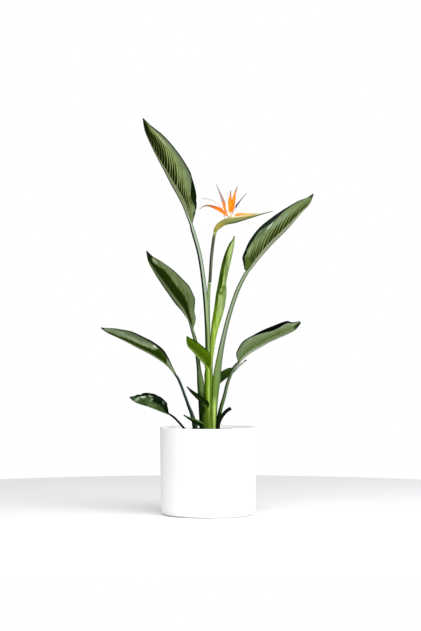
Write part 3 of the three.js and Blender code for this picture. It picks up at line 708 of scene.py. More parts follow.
# Each leaf's stem and blade are points [x, y, z, size] in millimetres, where the size is a radius on the
# stem and the reach from midrib to margin on the blade. `lean` is 1 for a leaf that leans to the left and
# -1 for one that leans to the right, and turns the reach to the other side.
LEAVES = {
    "leaf_tall_left": {
        "slot": "dark_leaf", "lean": 1, "near": TROUGH, "far": TROUGH,
        "wave": {"height": 3, "count": 4}, "rows": 340, "columns": 34,
        "dents": [(0.26, 0.1, 0.5, 1), (0.2, 0.02, 0.05, -1), (0.13, 0.015, -0.04, -1)],
        "stem": [
            [-2, -2, 250, 7], [-2, -3, 419, 6.9], [-2.4, -5, 523, 7.2], [-7.6, -10, 622, 7.3],
            [-15.6, -16, 695, 7], [-26.5, -23, 760, 6.7], [-45, -31, 825, 6.4],
        ],
        "blade": [
            [-49.5, -31, 841, 5], [-61.5, -36, 868, 28], [-73.5, -41, 896, 46], [-87.5, -48, 923, 56],
            [-106, -55, 955, 64], [-125, -63, 992, 62], [-144, -70, 1027, 57], [-164, -77, 1067, 46],
            [-180.5, -85, 1106, 26], [-187, -92, 1140, 2],
        ],
        "look": {
            "pleats": 25, "slant": 0.18, "ragged": 0.22,
            "deep": (20, 32, 0), "deep_light": (40, 54, 4), "mid": (126, 136, 74),
            "pale": (86, 102, 66), "pale_light": (120, 136, 96), "pale_from": 1.6, "outer": (72, 84, 64),
            "outer_share": 0.8,
            "band_low": ((0, 0.3), (0.2, 0.2), (0.4, 0.1), (1, 0)),
            "band_high": (
                (0.1, 0.36), (0.2, 0.42), (0.37, 0.36), (0.465, 0.38), (0.544, 0.44), (0.63, 0.52),
                (0.717, 0.58), (0.795, 0.6), (0.88, 0.6), (0.95, 0.85), (1, 1.2),
            ),
            "line": (56, 70, 26), "lines": 0.6,
            "stripe": (150, 162, 100), "stripes": 0.8,
            "stripe_run": ((0, 0), (0.12, 1), (0.5, 1), (0.75, 0.5), (0.88, 0), (1, 0)),
            "rib": (60, 68, 46), "rib_light": (134, 146, 108), "rib_line": 0.05,
            "rib_to": (
                (0, 0.34), (0.2, 0.25), (0.35, 0.19), (0.5, 0.13), (0.65, 0.07), (0.8, 0.03), (1, 0.01),
            ),
            "margin": (34, 42, 28), "margin_from": ((0, 0.95), (1, 0.92)),
            "tip_from": 0.965,
            # The pale first patch is a painted highlight, and the near-black one at the base is painted
            # shade.
            "patches": [
                (0.79, 0.73, 0.09, 0.05, (150, 164, 126), 0.8),
                (0.24, 0.68, 0.06, 0.16, (52, 66, 18), 0.8), (0.09, 0.95, 0.03, 0.3, (24, 34, 8), 0.9),
            ],
            "stem_zones": [
                (1, [
                    (0.3, (10, 18, 8)), (0.4, (140, 158, 136)), (0.55, (156, 172, 152)),
                    (0.75, (112, 128, 106)), (1, (98, 112, 94)),
                ]),
                (0.5, [
                    (0.3, (14, 24, 8)), (0.42, (138, 160, 118)), (0.6, (138, 158, 110)),
                    (1, (100, 120, 80)),
                ]),
                (0.41, [
                    (0.3, (36, 52, 24)), (0.42, (50, 70, 30)), (0.55, (124, 146, 90)),
                    (1, (122, 146, 78)),
                ]),
            ],
        },
    },
    "leaf_tall_right": {
        "slot": "dark_leaf", "lean": -1, "near": TROUGH, "far": {"open": 0.3, "cup": 0.18, "share": 1.06},
        "wave": {"height": 3, "count": 3.5}, "rows": 320, "columns": 34, "dents": [(0.16, 0.03, 0.08, 1)],
        "stem": [
            [17, -8, 250, 5.8], [18.5, -8, 332, 9.6], [23, -7, 390, 12.2], [31, -5, 448, 9.6],
            [46, 0, 522, 7.2], [63, 6, 587, 6.7], [85.2, 13, 651, 6.5], [107.6, 20, 696, 6.4],
        ],
        "blade": [
            [114, 22, 705, 11], [128.8, 28, 721, 35], [146.2, 35, 742, 44], [165.3, 44, 764, 52],
            [190.3, 52, 791, 56], [217.4, 63, 817, 55], [245.4, 74, 847, 48], [273.4, 87, 880, 35],
            [298, 95, 906, 22], [310, 104, 935, 2],
        ],
        "look": {
            "pleats": 16, "slant": 0.22, "ragged": 0.22, "soft": 0.22,
            "deep": (30, 42, 0), "deep_light": (50, 64, 14), "mid": (84, 98, 48),
            "pale": (78, 94, 52), "pale_light": (108, 124, 86), "outer_share": 0.0,
            "band_low": ((0, 0.1), (1, 0.12)),
            "band_high": (
                (0, 0.7), (0.1, 0.8), (0.2, 0.65), (0.3, 0.45), (0.4, 0.38), (0.6, 0.42), (0.75, 0.35),
                (0.9, 0.2), (1, 0.1),
            ),
            "line": (58, 72, 28), "lines": 0.6,
            "stripe": (134, 144, 96), "stripes": 0.5,
            "stripe_run": ((0, 0.2), (0.15, 0.4), (0.35, 1), (0.8, 0.8), (0.95, 0)),
            "rib": (88, 98, 74), "rib_light": (128, 138, 108), "rib_line": 0.05,
            "rib_to": ((0, 0.16), (0.2, 0.17), (0.6, 0.15), (0.9, 0.1), (1, 0.06)),
            # The wide near-black margin is painted shade, standing for the shaded inside of the far half
            # beyond it.
            "margin": (20, 28, 22),
            "margin_from": (
                (0.2, 0.97), (0.32, 0.9), (0.41, 0.92), (0.46, 0.86), (0.51, 0.8), (0.6, 0.8),
                (0.7, 0.88), (0.83, 0.92), (0.92, 0.88), (1, 0.7),
            ),
            # The two grey patches in the middle of the blade are painted sheen.
            "patches": [
                (0.5, 0.74, 0.06, 0.07, (152, 168, 152), 0.8),
                (0.22, 0.82, 0.08, 0.12, (120, 134, 92), 0.7),
                (0.6, 0.6, 0.14, 0.12, (116, 134, 108), 0.6), (0.42, 0.8, 0.1, 0.07, (62, 76, 62), 0.7),
                (0.05, 0.5, 0.1, 0.6, (70, 88, 32), 0.8), (0.98, 0.5, 0.04, 0.8, (78, 78, 66), 0.9),
            ],
            "stem_zones": [
                (1, [
                    (0.1, (26, 34, 18)), (0.25, (92, 108, 82)), (0.5, (140, 154, 128)),
                    (0.62, (122, 136, 108)), (0.76, (78, 92, 68)), (0.9, (104, 116, 94)),
                    (1, (96, 108, 84)),
                ]),
                (0.46, [
                    (0.05, (74, 94, 36)), (0.2, (108, 132, 70)), (0.5, (106, 130, 76)),
                    (0.85, (92, 114, 76)), (1, (80, 96, 66)),
                ]),
                (0.365, [
                    (0, (84, 118, 8)), (0.25, (96, 126, 40)), (0.5, (102, 132, 62)), (0.8, (88, 114, 56)),
                    (1, (90, 112, 62)),
                ]),
                # The lowest zone is brightened on its left as painted light against the shade among the
                # stems.
                (0.26, [
                    (0, (150, 184, 76)), (0.25, (156, 188, 80)), (0.42, (184, 214, 114)),
                    (0.6, (164, 194, 98)), (0.8, (120, 148, 68)), (0.9, (30, 54, 0)), (1, (26, 48, 0)),
                ]),
            ],
        },
    },
    "leaf_mid_left": {
        "slot": "dark_leaf", "lean": 1, "near": TROUGH, "far": WIDE,
        "wave": {"height": 3, "count": 3}, "rows": 300, "columns": 34,
        "stem": [
            [-17, -9, 250, 8.6], [-19, -8, 332, 10], [-21.5, -5, 378, 10.8], [-26.6, -3, 419, 7],
            [-30.6, 0, 457, 6.4], [-37, 3, 503, 5.9],
        ],
        "blade": [
            [-46.5, 6, 535, 4], [-54, 13, 557, 20], [-63, 18, 576, 27], [-76, 25, 597, 48],
            [-95, 32, 620, 57], [-115, 39, 647, 54], [-138, 51, 679, 47], [-159.5, 60, 711, 34],
            [-175, 67, 738, 20], [-182, 74, 766, 2],
        ],
        "look": {
            "pleats": 18, "slant": 0.16, "ragged": 0.025, "soft": 0.09,
            "deep": (26, 42, 0), "deep_light": (42, 58, 0), "mid": (96, 108, 66),
            "pale": (76, 88, 46), "pale_light": (104, 116, 78),
            "band_low": ((0, 0.2), (0.15, 0.12), (0.8, 0.12), (1, 0.0)),
            "band_high": (
                (0, 0.3), (0.2, 0.46), (0.5, 0.52), (0.72, 0.62), (0.84, 0.4), (0.9, 0.7), (1, 1.2),
            ),
            "lines": 0.35,
            # inside: the open far half's dark glossy face, painted silvery grey as sheen.
            "inside": (62, 74, 54), "inside_light": (108, 122, 96), "tip": (26, 30, 14), "tip_from": 0.9,
            "patches": [(0.84, 0.6, 0.05, 0.16, (134, 146, 118), 0.8)],
            "stem_zones": [
                (1, [
                    (0, (14, 24, 6)), (0.2, (30, 40, 16)), (0.32, (80, 94, 64)), (0.55, (100, 114, 80)),
                    (0.8, (84, 98, 62)), (1, (100, 116, 74)),
                ]),
                (0.48, [
                    (0, (30, 46, 20)), (0.2, (44, 62, 28)), (0.35, (74, 98, 50)), (0.55, (92, 118, 58)),
                    (0.75, (116, 142, 82)), (1, (124, 152, 92)),
                ]),
                (0.36, [
                    (0, (2, 12, 0)), (0.2, (10, 28, 0)), (0.4, (34, 58, 10)), (0.6, (42, 68, 16)),
                    (0.8, (72, 100, 34)), (1, (88, 116, 46)),
                ]),
                (0.27, [
                    (0, (2, 12, 0)), (0.4, (6, 24, 0)), (0.6, (14, 38, 2)), (0.8, (38, 64, 10)),
                    (1, (70, 94, 28)),
                ]),
            ],
        },
    },
    "leaf_low_left": {
        "slot": "dark_leaf", "lean": 1, "near": TROUGH, "far": TROUGH,
        "wave": {"height": 2, "count": 2.5}, "rows": 280, "columns": 30,
        "stem": [
            [-37, -4, 250, 8.5], [-47, -3, 290, 6], [-57, -1, 315, 4.8], [-66, 2, 340, 4.4],
            [-87, 9, 393, 4.2],
        ],
        "blade": [
            [-97, 12, 407, 4], [-110, 19, 423, 8], [-126, 24, 438, 17], [-149, 34, 453.5, 29],
            [-177, 44, 469.5, 34], [-206, 53, 483.5, 35], [-237, 65, 499.5, 33], [-269, 75, 514.5, 24],
            [-295, 85, 526, 15], [-316, 92, 540, 2],
        ],
        "look": {
            "pleats": 16, "slant": 0.2, "ragged": 0.03, "soft": 0.07,
            "deep": (32, 52, 0), "deep_light": (54, 78, 4), "mid": (98, 116, 66),
            "pale": (94, 108, 74), "pale_light": (128, 140, 110), "outer": (66, 82, 54),
            "outer_share": 0.7,
            "band_low": ((0, 0.2), (1, 0.02)),
            "band_high": (
                (0, -0.3), (0.14, -0.1), (0.2, 0.3), (0.25, 1.2), (0.33, 1.2), (0.38, 0.52), (0.5, 0.34),
                (0.75, 0.24), (1, 0.3),
            ),
            "lines": 0.1,
            "rib_to": ((0, 0.04), (1, 0.01)),
            "margin_from": ((0, 0.9), (0.3, 0.86), (1, 0.92)),
            # The pale patch along the middle and the near-white one are painted highlights.
            "patches": [
                (0.62, 0.8, 0.22, 0.2, (68, 86, 56), 0.75),
                (0.56, 0.46, 0.16, 0.07, (158, 172, 126), 0.7),
                (0.4, 0.76, 0.022, 0.09, (182, 194, 180), 0.9), (0.34, 0.9, 0.05, 0.1, (16, 24, 12), 0.9),
            ],
            "stem_zones": [
                (1, [(0, (24, 32, 28)), (0.5, (34, 44, 38)), (0.7, (76, 90, 76)), (1, (88, 100, 86))]),
            ],
        },
    },
    "leaf_lowest_left": {
        "slot": "dark_leaf", "lean": 1, "near": {"open": 0.4, "cup": 0.22}, "far": TROUGH,
        "wave": {"height": 4, "count": 4.5}, "rows": 220, "columns": 28,
        "stem": [[-67, -14, 247, 4], [-71, -16, 252, 3.6], [-87, -24, 271, 3.3], [-101, -31, 285, 3.3]],
        "blade": [
            [-115, -36, 294, 3], [-125, -41, 298, 17], [-136, -48, 302, 29], [-157, -60, 311, 38],
            [-178, -70, 319, 36], [-197, -81, 325, 27], [-213, -91, 333, 18], [-224, -98, 343, 3],
        ],
        "look": {
            "pleats": 12, "slant": 0.22, "ragged": 0.2,
            "deep": (6, 20, 4), "deep_light": (26, 44, 12), "mid": (58, 80, 38),
            "outer_share": 0.0,
            "band_low": ((0, 0.05), (0.15, 0.2), (0.35, 0.4), (0.55, 0.5), (0.66, 0.8), (1, 0.95)),
            "band_high": ((0, 1.4), (1, 1.4)),
            "lines": 0.1,
            "margin_from": ((0, 0.8), (0.5, 0.86), (0.58, 0.97), (1, 0.97)),
            # The pale grey-green patches are painted reflections on the glossy, crinkled upper face.
            "patches": [
                (0.72, 0.8, 0.05, 0.1, (116, 136, 108), 0.8),
                (0.56, 0.6, 0.03, 0.22, (104, 126, 92), 0.7), (0.6, 0.1, 0.05, 0.1, (26, 42, 10), 0.8),
                (0.86, 0.12, 0.05, 0.1, (104, 124, 86), 0.7),
                (0.84, 0.5, 0.05, 0.4, (132, 150, 126), 0.9), (0.7, 0.35, 0.04, 0.25, (44, 62, 30), 0.9),
                (0.5, 0.2, 0.12, 0.15, (92, 116, 66), 0.7), (0.92, 0.3, 0.03, 0.3, (26, 38, 18), 0.8),
                (0.35, 0.75, 0.03, 0.12, (92, 112, 96), 0.6), (0.34, 0.5, 0.05, 0.2, (18, 34, 12), 0.7),
                (0.74, 0.9, 0.06, 0.12, (156, 168, 154), 1.0),
                (0.59, 0.84, 0.04, 0.09, (104, 122, 98), 0.8),
            ],
            "stem_zones": [
                (1, [(0, (10, 18, 12)), (0.5, (6, 14, 8)), (0.8, (20, 30, 22)), (1, (30, 40, 30))]),
            ],
        },
    },
    "leaf_low_right": {
        "slot": "dark_leaf", "lean": -1, "near": {**TROUGH, "share": 1.12},
        "far": {"open": 0.3, "cup": 0.18, "share": 1.1},
        "wave": {"height": 2, "count": 3}, "rows": 260, "columns": 30, "dents": [(0.69, 0.16, 0.42, 1)],
        "stem": [
            [27, 6, 250, 6.5], [29, 5, 276, 6.4], [37, 0, 312, 6], [46, -5, 342, 5.6], [54, -9, 376, 5.2],
            [63, -12, 402, 5], [76, -16, 429, 4.8],
        ],
        "blade": [
            [88, -18, 442, 4], [96, -21, 449.5, 18.5], [108, -27, 460, 27.5], [125, -33, 472.6, 35],
            [147, -39, 485.4, 35.5], [171, -48, 499, 35], [199, -57, 512, 34], [226, -66, 524, 33],
            [250, -72, 537, 26], [265, -78, 557, 5],
        ],
        "look": {
            "pleats": 18, "slant": 0.2, "ragged": 0.2, "soft": 0.3,
            "deep": (68, 88, 34), "deep_light": (92, 112, 60), "mid": (104, 120, 82),
            "pale": (94, 112, 74), "pale_light": (128, 142, 116), "outer_share": 0.0,
            "band_low": ((0, 0.2), (1, 0.3)),
            "band_high": ((0, 0.3), (0.3, 0.45), (0.6, 0.55), (0.8, 0.45), (1, 0.6)),
            "stripe": (130, 148, 108), "stripes": 0.25,
            "rib_light": (146, 160, 134), "rib_to": ((0, 0.18), (0.5, 0.09), (1, 0.03)),
            "margin_from": ((0, 0.7), (0.12, 0.84), (0.4, 0.93), (0.8, 0.96), (1, 0.9)),
            # inside: the inside of the fold, painted near-black as shade.
            "inside": (3, 5, 2), "inside_light": (10, 15, 7), "tip": (14, 18, 12), "tip_from": 0.985,
            "patches": [(0.97, 0.1, 0.09, 0.45, (8, 11, 6), 1.0)],
            "stem_zones": [
                (1, [
                    (0, (24, 36, 16)), (0.3, (34, 48, 24)), (0.5, (84, 100, 72)), (0.7, (98, 112, 84)),
                    (1, (90, 104, 80)),
                ]),
                (0.44, [
                    (0, (18, 36, 6)), (0.35, (22, 42, 6)), (0.55, (74, 96, 54)), (0.75, (92, 116, 62)),
                    (1, (76, 98, 58)),
                ]),
                (0.35, [(0, (20, 42, 2)), (1, (24, 44, 8))]),
            ],
        },
    },
    "leaf_small_bright": {
        "slot": "bright_leaf", "lean": 1, "near": {"open": 0.5, "cup": 0.15},
        "far": {"open": 0.2, "cup": 0.15},
        "wave": {"height": 1.5, "count": 2}, "rows": 160, "columns": 24,
        "stem": [
            [-1, -15, 250, 6], [-2.2, -19.5, 347, 8.4], [-2.3, -21, 391, 8.9], [-2.6, -21.5, 408, 8.6],
        ],
        "blade": [
            [-2.6, -22, 424, 6], [-7, -25, 432, 16], [-17, -29, 444, 31], [-31, -34, 459, 32],
            [-45, -39, 475, 29], [-58, -44, 489, 26], [-62, -48, 504, 20], [-62, -52, 517, 3],
        ],
        "look": {
            **SMALL_LOOK,
            "soft": 0.2,
            "deep": (66, 94, 0), "deep_light": (84, 116, 2), "mid": (100, 126, 34),
            "pale": (112, 140, 66), "pale_light": (130, 158, 84),
            "band_low": ((0, 0.0), (0.25, 0.3), (0.6, 0.25), (1, 0)),
            "rib": (70, 104, 40), "rib_light": (150, 176, 108), "rib_to": ((0, 0.1), (1, 0.04)),
            "margin": (30, 54, 0),
            "inside": (38, 66, 2), "inside_light": (58, 90, 6), "tip": (44, 80, 6),
            "stem_zones": [
                (1, [
                    (0, (30, 50, 0)), (0.12, (32, 54, 0)), (0.3, (78, 106, 12)), (0.55, (110, 142, 34)),
                    (0.75, (138, 168, 64)), (0.9, (130, 160, 58)), (1, (84, 116, 18)),
                ]),
                (0.5, [
                    (0, (56, 86, 10)), (0.15, (58, 90, 6)), (0.35, (86, 118, 14)), (0.55, (118, 152, 44)),
                    (0.75, (152, 184, 88)), (0.9, (118, 150, 58)), (1, (84, 118, 22)),
                ]),
            ],
        },
    },
    "leaf_small_right": {
        "slot": "mid_leaf", "lean": -1, "near": TROUGH, "far": TROUGH,
        "wave": {"height": 1.5, "count": 2}, "rows": 160, "columns": 22,
        "stem": [[17, 17, 250, 4.5], [22, 17, 330, 4.2], [28, 14, 366, 3.6]],
        "blade": [
            [31, 13, 379, 3], [38, 13, 386, 15], [49, 13, 394, 22], [60, 13, 403, 21], [75, 20, 414, 14],
            [92, 20, 430, 6], [111, 28, 447, 2],
        ],
        "look": {
            **SMALL_LOOK,
            "deep": (34, 58, 4), "deep_light": (66, 98, 18),
            "pale": (70, 96, 44), "pale_light": (96, 118, 70),
            "band_low": ((0, 0.05), (1, 0)),
            "rib_to": ((0, 0.04), (1, 0.01)),
            "patches": [(0.84, 0.3, 0.16, 1.5, (158, 166, 154), 1.0)],
            "stem_zones": [(1, [(0, (24, 46, 4)), (1, (56, 84, 20))])],
        },
    },
    "leaf_small_sheath": {
        "slot": "mid_leaf", "lean": 1, "near": {"open": 0.5, "cup": 0.15}, "far": SHUT, "flatness": 0.28,
        "wave": {"height": 1, "count": 2}, "rows": 140, "columns": 20,
        "stem": [[-7, -28.5, 250, 16.5], [-8, -29, 285, 14], [-6, -29, 300, 9]],
        "blade": [
            [-7, -29, 309, 9], [-12, -31, 318, 16], [-22, -35, 329, 13], [-34, -39, 340, 12],
            [-48, -44, 354, 8], [-62, -50, 372, 2],
        ],
        "look": {
            **SMALL_LOOK,
            "deep": (8, 30, 0), "deep_light": (26, 54, 6), "mid": (58, 86, 10),
            "pale": (60, 88, 34), "pale_light": (84, 110, 50),
            "band_low": ((0, 0.35), (0.2, 0.2), (0.35, 0)),
            "rib_to": ((0, 0.04), (1, 0.01)),
            "patches": [
                (0.0, 0.2, 0.25, 0.5, (70, 98, 14), 1.0), (0.5, 0.35, 0.4, 0.12, (72, 84, 44), 0.6),
            ],
            "stem_zones": [
                (1, [
                    (0, (6, 24, 0)), (0.2, (20, 46, 4)), (0.35, (44, 70, 14)), (0.5, (72, 96, 24)),
                    (0.6, (62, 84, 10)), (0.75, (84, 104, 28)), (0.9, (104, 128, 44)), (1, (80, 106, 20)),
                ]),
            ],
        },
    },
    "leaf_tiny_front": {
        "slot": "mid_leaf", "lean": 1, "near": {"open": 0.5, "cup": 0.15}, "far": SHUT,
        "wave": {"height": 1, "count": 2}, "rows": 120, "columns": 18,
        "stem": [[-10, -37.5, 246, 3.6]],
        "blade": [
            [-14, -38, 253, 4], [-22, -39, 259, 11], [-34, -41, 265, 12], [-48, -44, 274, 9],
            [-60, -48, 282, 5], [-71, -51, 290, 2],
        ],
        "look": {
            **SMALL_LOOK,
            "pleats": 7,
            "deep": (20, 42, 6), "deep_light": (50, 76, 26),
            "pale": (56, 82, 36), "pale_light": (80, 100, 56),
            "band_low": ((0, 0.05), (1, 0)),
            "rib_to": ((0, 0.04), (1, 0.01)),
            "margin": (88, 114, 62), "margin_from": ((0, 0.9), (0.4, 0.7), (1, 0.6)),
            "stem_zones": [(1, [(0, (14, 30, 8)), (1, (44, 70, 26))])],
        },
    },
}


def leaf_pieces(name, leaf):
    """A leaf's blade and petiole. Under the blade the petiole tapers and runs out below the midrib."""
    look = {**DARK_LOOK, **leaf["look"]}
    route = Route([*leaf["stem"], *leaf["blade"]], leaf["lean"])
    start = len(leaf["stem"]) + 2
    neck = start - 1
    end = start + (route.last - start) * MIDRIB_RUN
    neck_radius = leaf["stem"][-1][3] * MM

    def petiole_radius(i, size):
        """The route's size up to the neck, then a taper under the blade."""
        taper = 1 + (MIDRIB_TAPER - 1) * np.clip((i - neck) / (end - neck), 0, 1)
        return np.where(i <= neck, size, neck_radius * taper)

    rightward = leaf["lean"] * np.cos(np.linspace(0, 2 * np.pi, PETIOLE_SIDES, endpoint=False))
    petiole = ringed(
        route, PETIOLE_ROWS, PETIOLE_SIDES, end=end, flatness=leaf.get("flatness", STEM_FLATNESS),
        radius_at=petiole_radius, shape=channelled, face=2, across=rightward[None, :],
    )
    folded = blade(
        route, start, leaf["near"], leaf["far"], leaf["wave"], leaf["rows"], leaf["columns"],
        look["pleats"], look["slant"], leaf.get("dents", ()),
    )
    skin = material(name + "_skin", leaf_skin(look), bump=0.00025, Specular_IOR_Level=0.04)
    piece(name.replace("leaf_", "fine_leaf_"), [folded, petiole], skin, leaf["slot"], name, crease=60)


for name, leaf in LEAVES.items():
    leaf_pieces(name, leaf)


# The young leaf: still rolled round itself, so that its section is a spiral whose outer edge steps down
# at the seam. The outer flap is deep green and the rest is fresh yellow-green.
YOUNG_LEAF = [
    [10, 6, 250, 5.5], [8.5, 5, 376, 5], [8.6, 3, 448, 5], [12, 1, 491, 7.5], [17.6, -1, 535, 10.2],
    [26.1, -2, 573, 13.4], [33.5, -3, 605, 15], [39.2, -3, 642, 14.8], [41.4, -4, 672, 11.6],
    [50.6, -5, 720, 11.8], [59, -5, 752, 11], [67, -6, 779, 8], [73, -6, 795, 4], [76, -6, 808, 1.2],
]
YOUNG_ROWS = 360
YOUNG_SIDES = 96
YOUNG_RIBS = 26
YOUNG_RIB_HEIGHT = 0.006
SPIRAL_OPENS = 7
SPIRAL_GROWS = 2
SPIRAL_STEP = 0.3
SEAM_ANGLE = 0.7
SPIRAL_TURN = 0.96
SPIRAL_MIDDLE = 0.6


def rolled_leaf():
    """Rings of r = size (1 + 0.3 rolled (turn - 0.6)), where turn runs once round from seam to seam."""
    route = Route(YOUNG_LEAF, -1)
    i = np.linspace(0, route.last, YOUNG_ROWS)
    place, inward, near, size = route.at(i)
    rolled = eased(np.clip((i - SPIRAL_OPENS) / SPIRAL_GROWS, 0, 1))[:, None]
    turn = np.linspace(0, 1, YOUNG_SIDES)[None, :]
    angle = SEAM_ANGLE + 2 * np.pi * turn * SPIRAL_TURN
    ribs = 1 + YOUNG_RIB_HEIGHT * rolled * np.cos(YOUNG_RIBS * angle)
    radius = size[:, None] * (1 + rolled * SPIRAL_STEP * (turn - SPIRAL_MIDDLE)) * ribs
    out = (radius * np.cos(angle))[..., None] * inward[:, None]
    out = out + (STEM_FLATNESS * radius * np.sin(angle))[..., None] * near[:, None]
    told = {"along": (i / route.last)[:, None], "across": 0.5 - 0.5 * np.cos(angle)}
    return tube(place[:, None] + out, told)


# Where the outer flap's edge lies: stops of (share of the length, share of the width from the left).
FLAP_EDGE = (
    (0.3, 0), (0.38, 0.15), (0.42, 0.25), (0.46, 0.35), (0.5, 0.3), (0.56, 0.2), (0.585, 0.12),
    (0.61, 0.2), (0.65, 0.45), (0.695, 0.48), (0.725, 0.35), (0.76, 0.3), (0.8, 0.2), (0.86, 0.25),
    (0.93, 0.3), (1, 0.5),
)


def young_skin(paint):
    """Yellow-green low down, brightest at the foot, where painted light offsets the shade among the stems,
    and a cooler, streaked green above, crumpled in the middle. The outer flap, which covers the left of
    the leaf as far as its edge, is deep green."""
    along = paint.reading("along")
    share = paint.reading("across")
    streak = paint.noise(130, 4, (1, 1, 0.06))
    cloud = paint.noise(60, 3)
    low = streak.step(0.35, 0.65).mix(tone(116, 146, 46), tone(158, 184, 84))
    # Painted light: the foot is brightened against the shade among the stems.
    low = (1 - along.step(0.2, 0.24)).mix(low, tone(166, 208, 80))
    high = streak.step(0.35, 0.65).mix(tone(100, 122, 62), tone(152, 172, 104))
    fresh = along.step(0.42, 0.55).mix(low, high)
    fresh = (0.45 * share.step(0.6, 0.95) * along.step(0.45, 0.5)).mix(fresh, tone(110, 132, 86))
    crumple = along.step(0.58, 0.6) * (1 - along.step(0.64, 0.66))
    crumple = crumple * (0.5 * streak + 0.5 * cloud).step(0.46, 0.54)
    fresh = (0.9 * crumple).mix(fresh, tone(70, 94, 24))
    flap = 1 - (share - along.ramp(*FLAP_EDGE) + 0.08 * (streak - 0.5)).step(-0.03, 0.03)
    deep = streak.step(0.35, 0.7).mix(tone(24, 42, 0), tone(62, 88, 12))
    deep = along.step(0.5, 0.58).mix(tone(92, 122, 12), deep)
    colour = flap.mix(fresh, deep)
    return along.step(0.965, 0.985).mix(colour, tone(58, 54, 42)), 0.5, streak


young_paint = material("young_skin", young_skin, bump=0.0003, Specular_IOR_Level=0.04)
piece("fine_leaf_young_rolled", [rolled_leaf()], young_paint, "bright_leaf", "leaf_young_rolled")


# The stub of an old petiole that was cut off square.
# It has dried nearly black and shrunk into long wrinkles.
PETIOLE_STUB = [
    [28, -7, 250, 4], [33, -8, 270, 4.3], [39, -9, 284, 4.8], [50, -11, 298, 5], [65, -14, 309, 5],
]


def dried(paint):
    streak = paint.noise(150, 5, (1, 1, 0.3))
    return streak.step(0.3, 0.75).mix(tone(6, 13, 5), tone(26, 36, 20)), 0.8, streak


def shrivelled(i, angle):
    """Long wrinkles from drying: 1 + 0.05 cos(9 a + 1.5 i) + 0.02 cos 23 a."""
    return 1 + 0.05 * np.cos(9 * angle + 1.5 * i) + 0.02 * np.cos(23 * angle)


stub = ringed(Route(PETIOLE_STUB), rows=120, sides=48, shape=shrivelled)
stub_paint = material("dried", dried, bump=0.0006, Specular_IOR_Level=0.1)
piece("cut_petiole", [stub], stub_paint, "stub", "petiole_stub")


# The flower's stalk: round and smooth, and streaked along its length, with painted shade down its left
# side.
# A paler sheath with a thin dry rim wraps it up to its joint.
FLOWER_STALK = [
    [-1, 15, 250, 5.6], [2, 15, 390, 5.6], [0.6, 13, 523, 5.2], [0.8, 9, 622, 4.6], [3.4, 8, 672, 4.8],
    [4.4, 8, 676, 4.6], [9.2, 6, 747, 4.7], [15.6, 4, 799, 4.6], [19, 3, 816, 4.5],
]


def stalk_skin(paint):
    along = paint.reading("along")
    signed = paint.reading("across")
    streak = paint.noise(120, 4, (1, 1, 0.05))
    sheath = streak.step(0.3, 0.7).mix(tone(88, 114, 66), tone(142, 164, 112))
    sheath = (1 - along.step(0.3, 0.46)).mix(sheath, tone(148, 180, 86))
    bare = streak.step(0.3, 0.7).mix(tone(54, 64, 38), tone(112, 118, 90))
    # Painted shade: the left side of the bare stalk is darkened.
    bare = (0.85 * (1 - signed.step(-0.7, 0.3))).mix(bare, tone(38, 38, 32))
    above = along.step(0.6, 0.603)
    colour = above.mix(sheath, bare)
    colour = along.step(0.9, 1.0).mix(colour, tone(126, 138, 66))
    rim = along.step(0.588, 0.594) * (1 - along.step(0.6, 0.603))
    return rim.mix(colour, tone(196, 196, 160)), 0.45, streak


stalk = ringed(Route(FLOWER_STALK), rows=300, sides=40)
stalk_paint = material("stalk_skin", stalk_skin, bump=0.0003, Specular_IOR_Level=0.15)
piece("fine_stalk", [stalk], stalk_paint, "stalk", "flower_stalk")


# The bract: a hard boat-shaped beak that goes on from the stalk and opens in a slot along its top.
# Its skin is olive and sea-green with rust-pink freckles and a golden edge under the orange sepal.
SPATHE = [
    [19.4, 3, 817, 4.6], [22, 2.5, 827, 6.4], [29, 2, 835, 8.2], [42, 1, 845, 8.6], [58.6, 0, 851, 9.6],
    [75, 0, 853.4, 9.2], [92, -1, 856.8, 7.7], [109, -2, 860.2, 5.6], [127, -3, 863.8, 3.7],
    [144, -4, 868, 2.4], [162, -5, 873, 1.7], [187, -6, 879.5, 0.9],
]
BOAT = [[0, -1], [0.4, -0.62], [0.66, 0.02], [0.52, 0.68], [0.24, 1]]
SLOT_DEPTH = 0.5
NECK_ENDS = (0.5, 2)
BEAK_ROWS = 240
HULL_STEPS = 20


def boat_section(steps):
    """Half of the section is a smooth curve from keel to lip, then a straight way down into the slot.
    The other half is its mirror image."""
    frames = np.array([[x, 0, y] for x, y in BOAT], float)
    hull = through(frames, np.linspace(0, len(BOAT) - 1, steps))[:, [0, 2]]
    slot = np.linspace(hull[-1], (0, 1 - SLOT_DEPTH), steps // 4 + 1)[1:]
    half = np.vstack([hull, slot])
    return np.vstack([half, half[-2:0:-1] * [-1, 1]])


def beak():
    """The section carried along the route and scaled by its size, turning from round at the neck."""
    route = Route(SPATHE, rooted=False)
    i = np.linspace(0, route.last, BEAK_ROWS)
    place, _, side, size = route.at(i)
    up = unit(np.cross(side, route.heading(i)))
    boat = boat_section(HULL_STEPS)
    angle = 2 * np.pi * np.arange(len(boat)) / len(boat) - np.pi / 2
    neck = np.stack([STEM_FLATNESS * np.cos(angle), np.sin(angle)], axis=-1)
    share = eased(np.clip((i - NECK_ENDS[0]) / (NECK_ENDS[1] - NECK_ENDS[0]), 0, 1))[:, None, None]
    section = size[:, None, None] * (neck * (1 - share) + boat * share)
    grid = place[:, None] + section[..., :1] * side[:, None] + section[..., 1:] * up[:, None]
    return tube(grid, {"along": (i / route.last)[:, None], "across": boat[None, :, 1]})


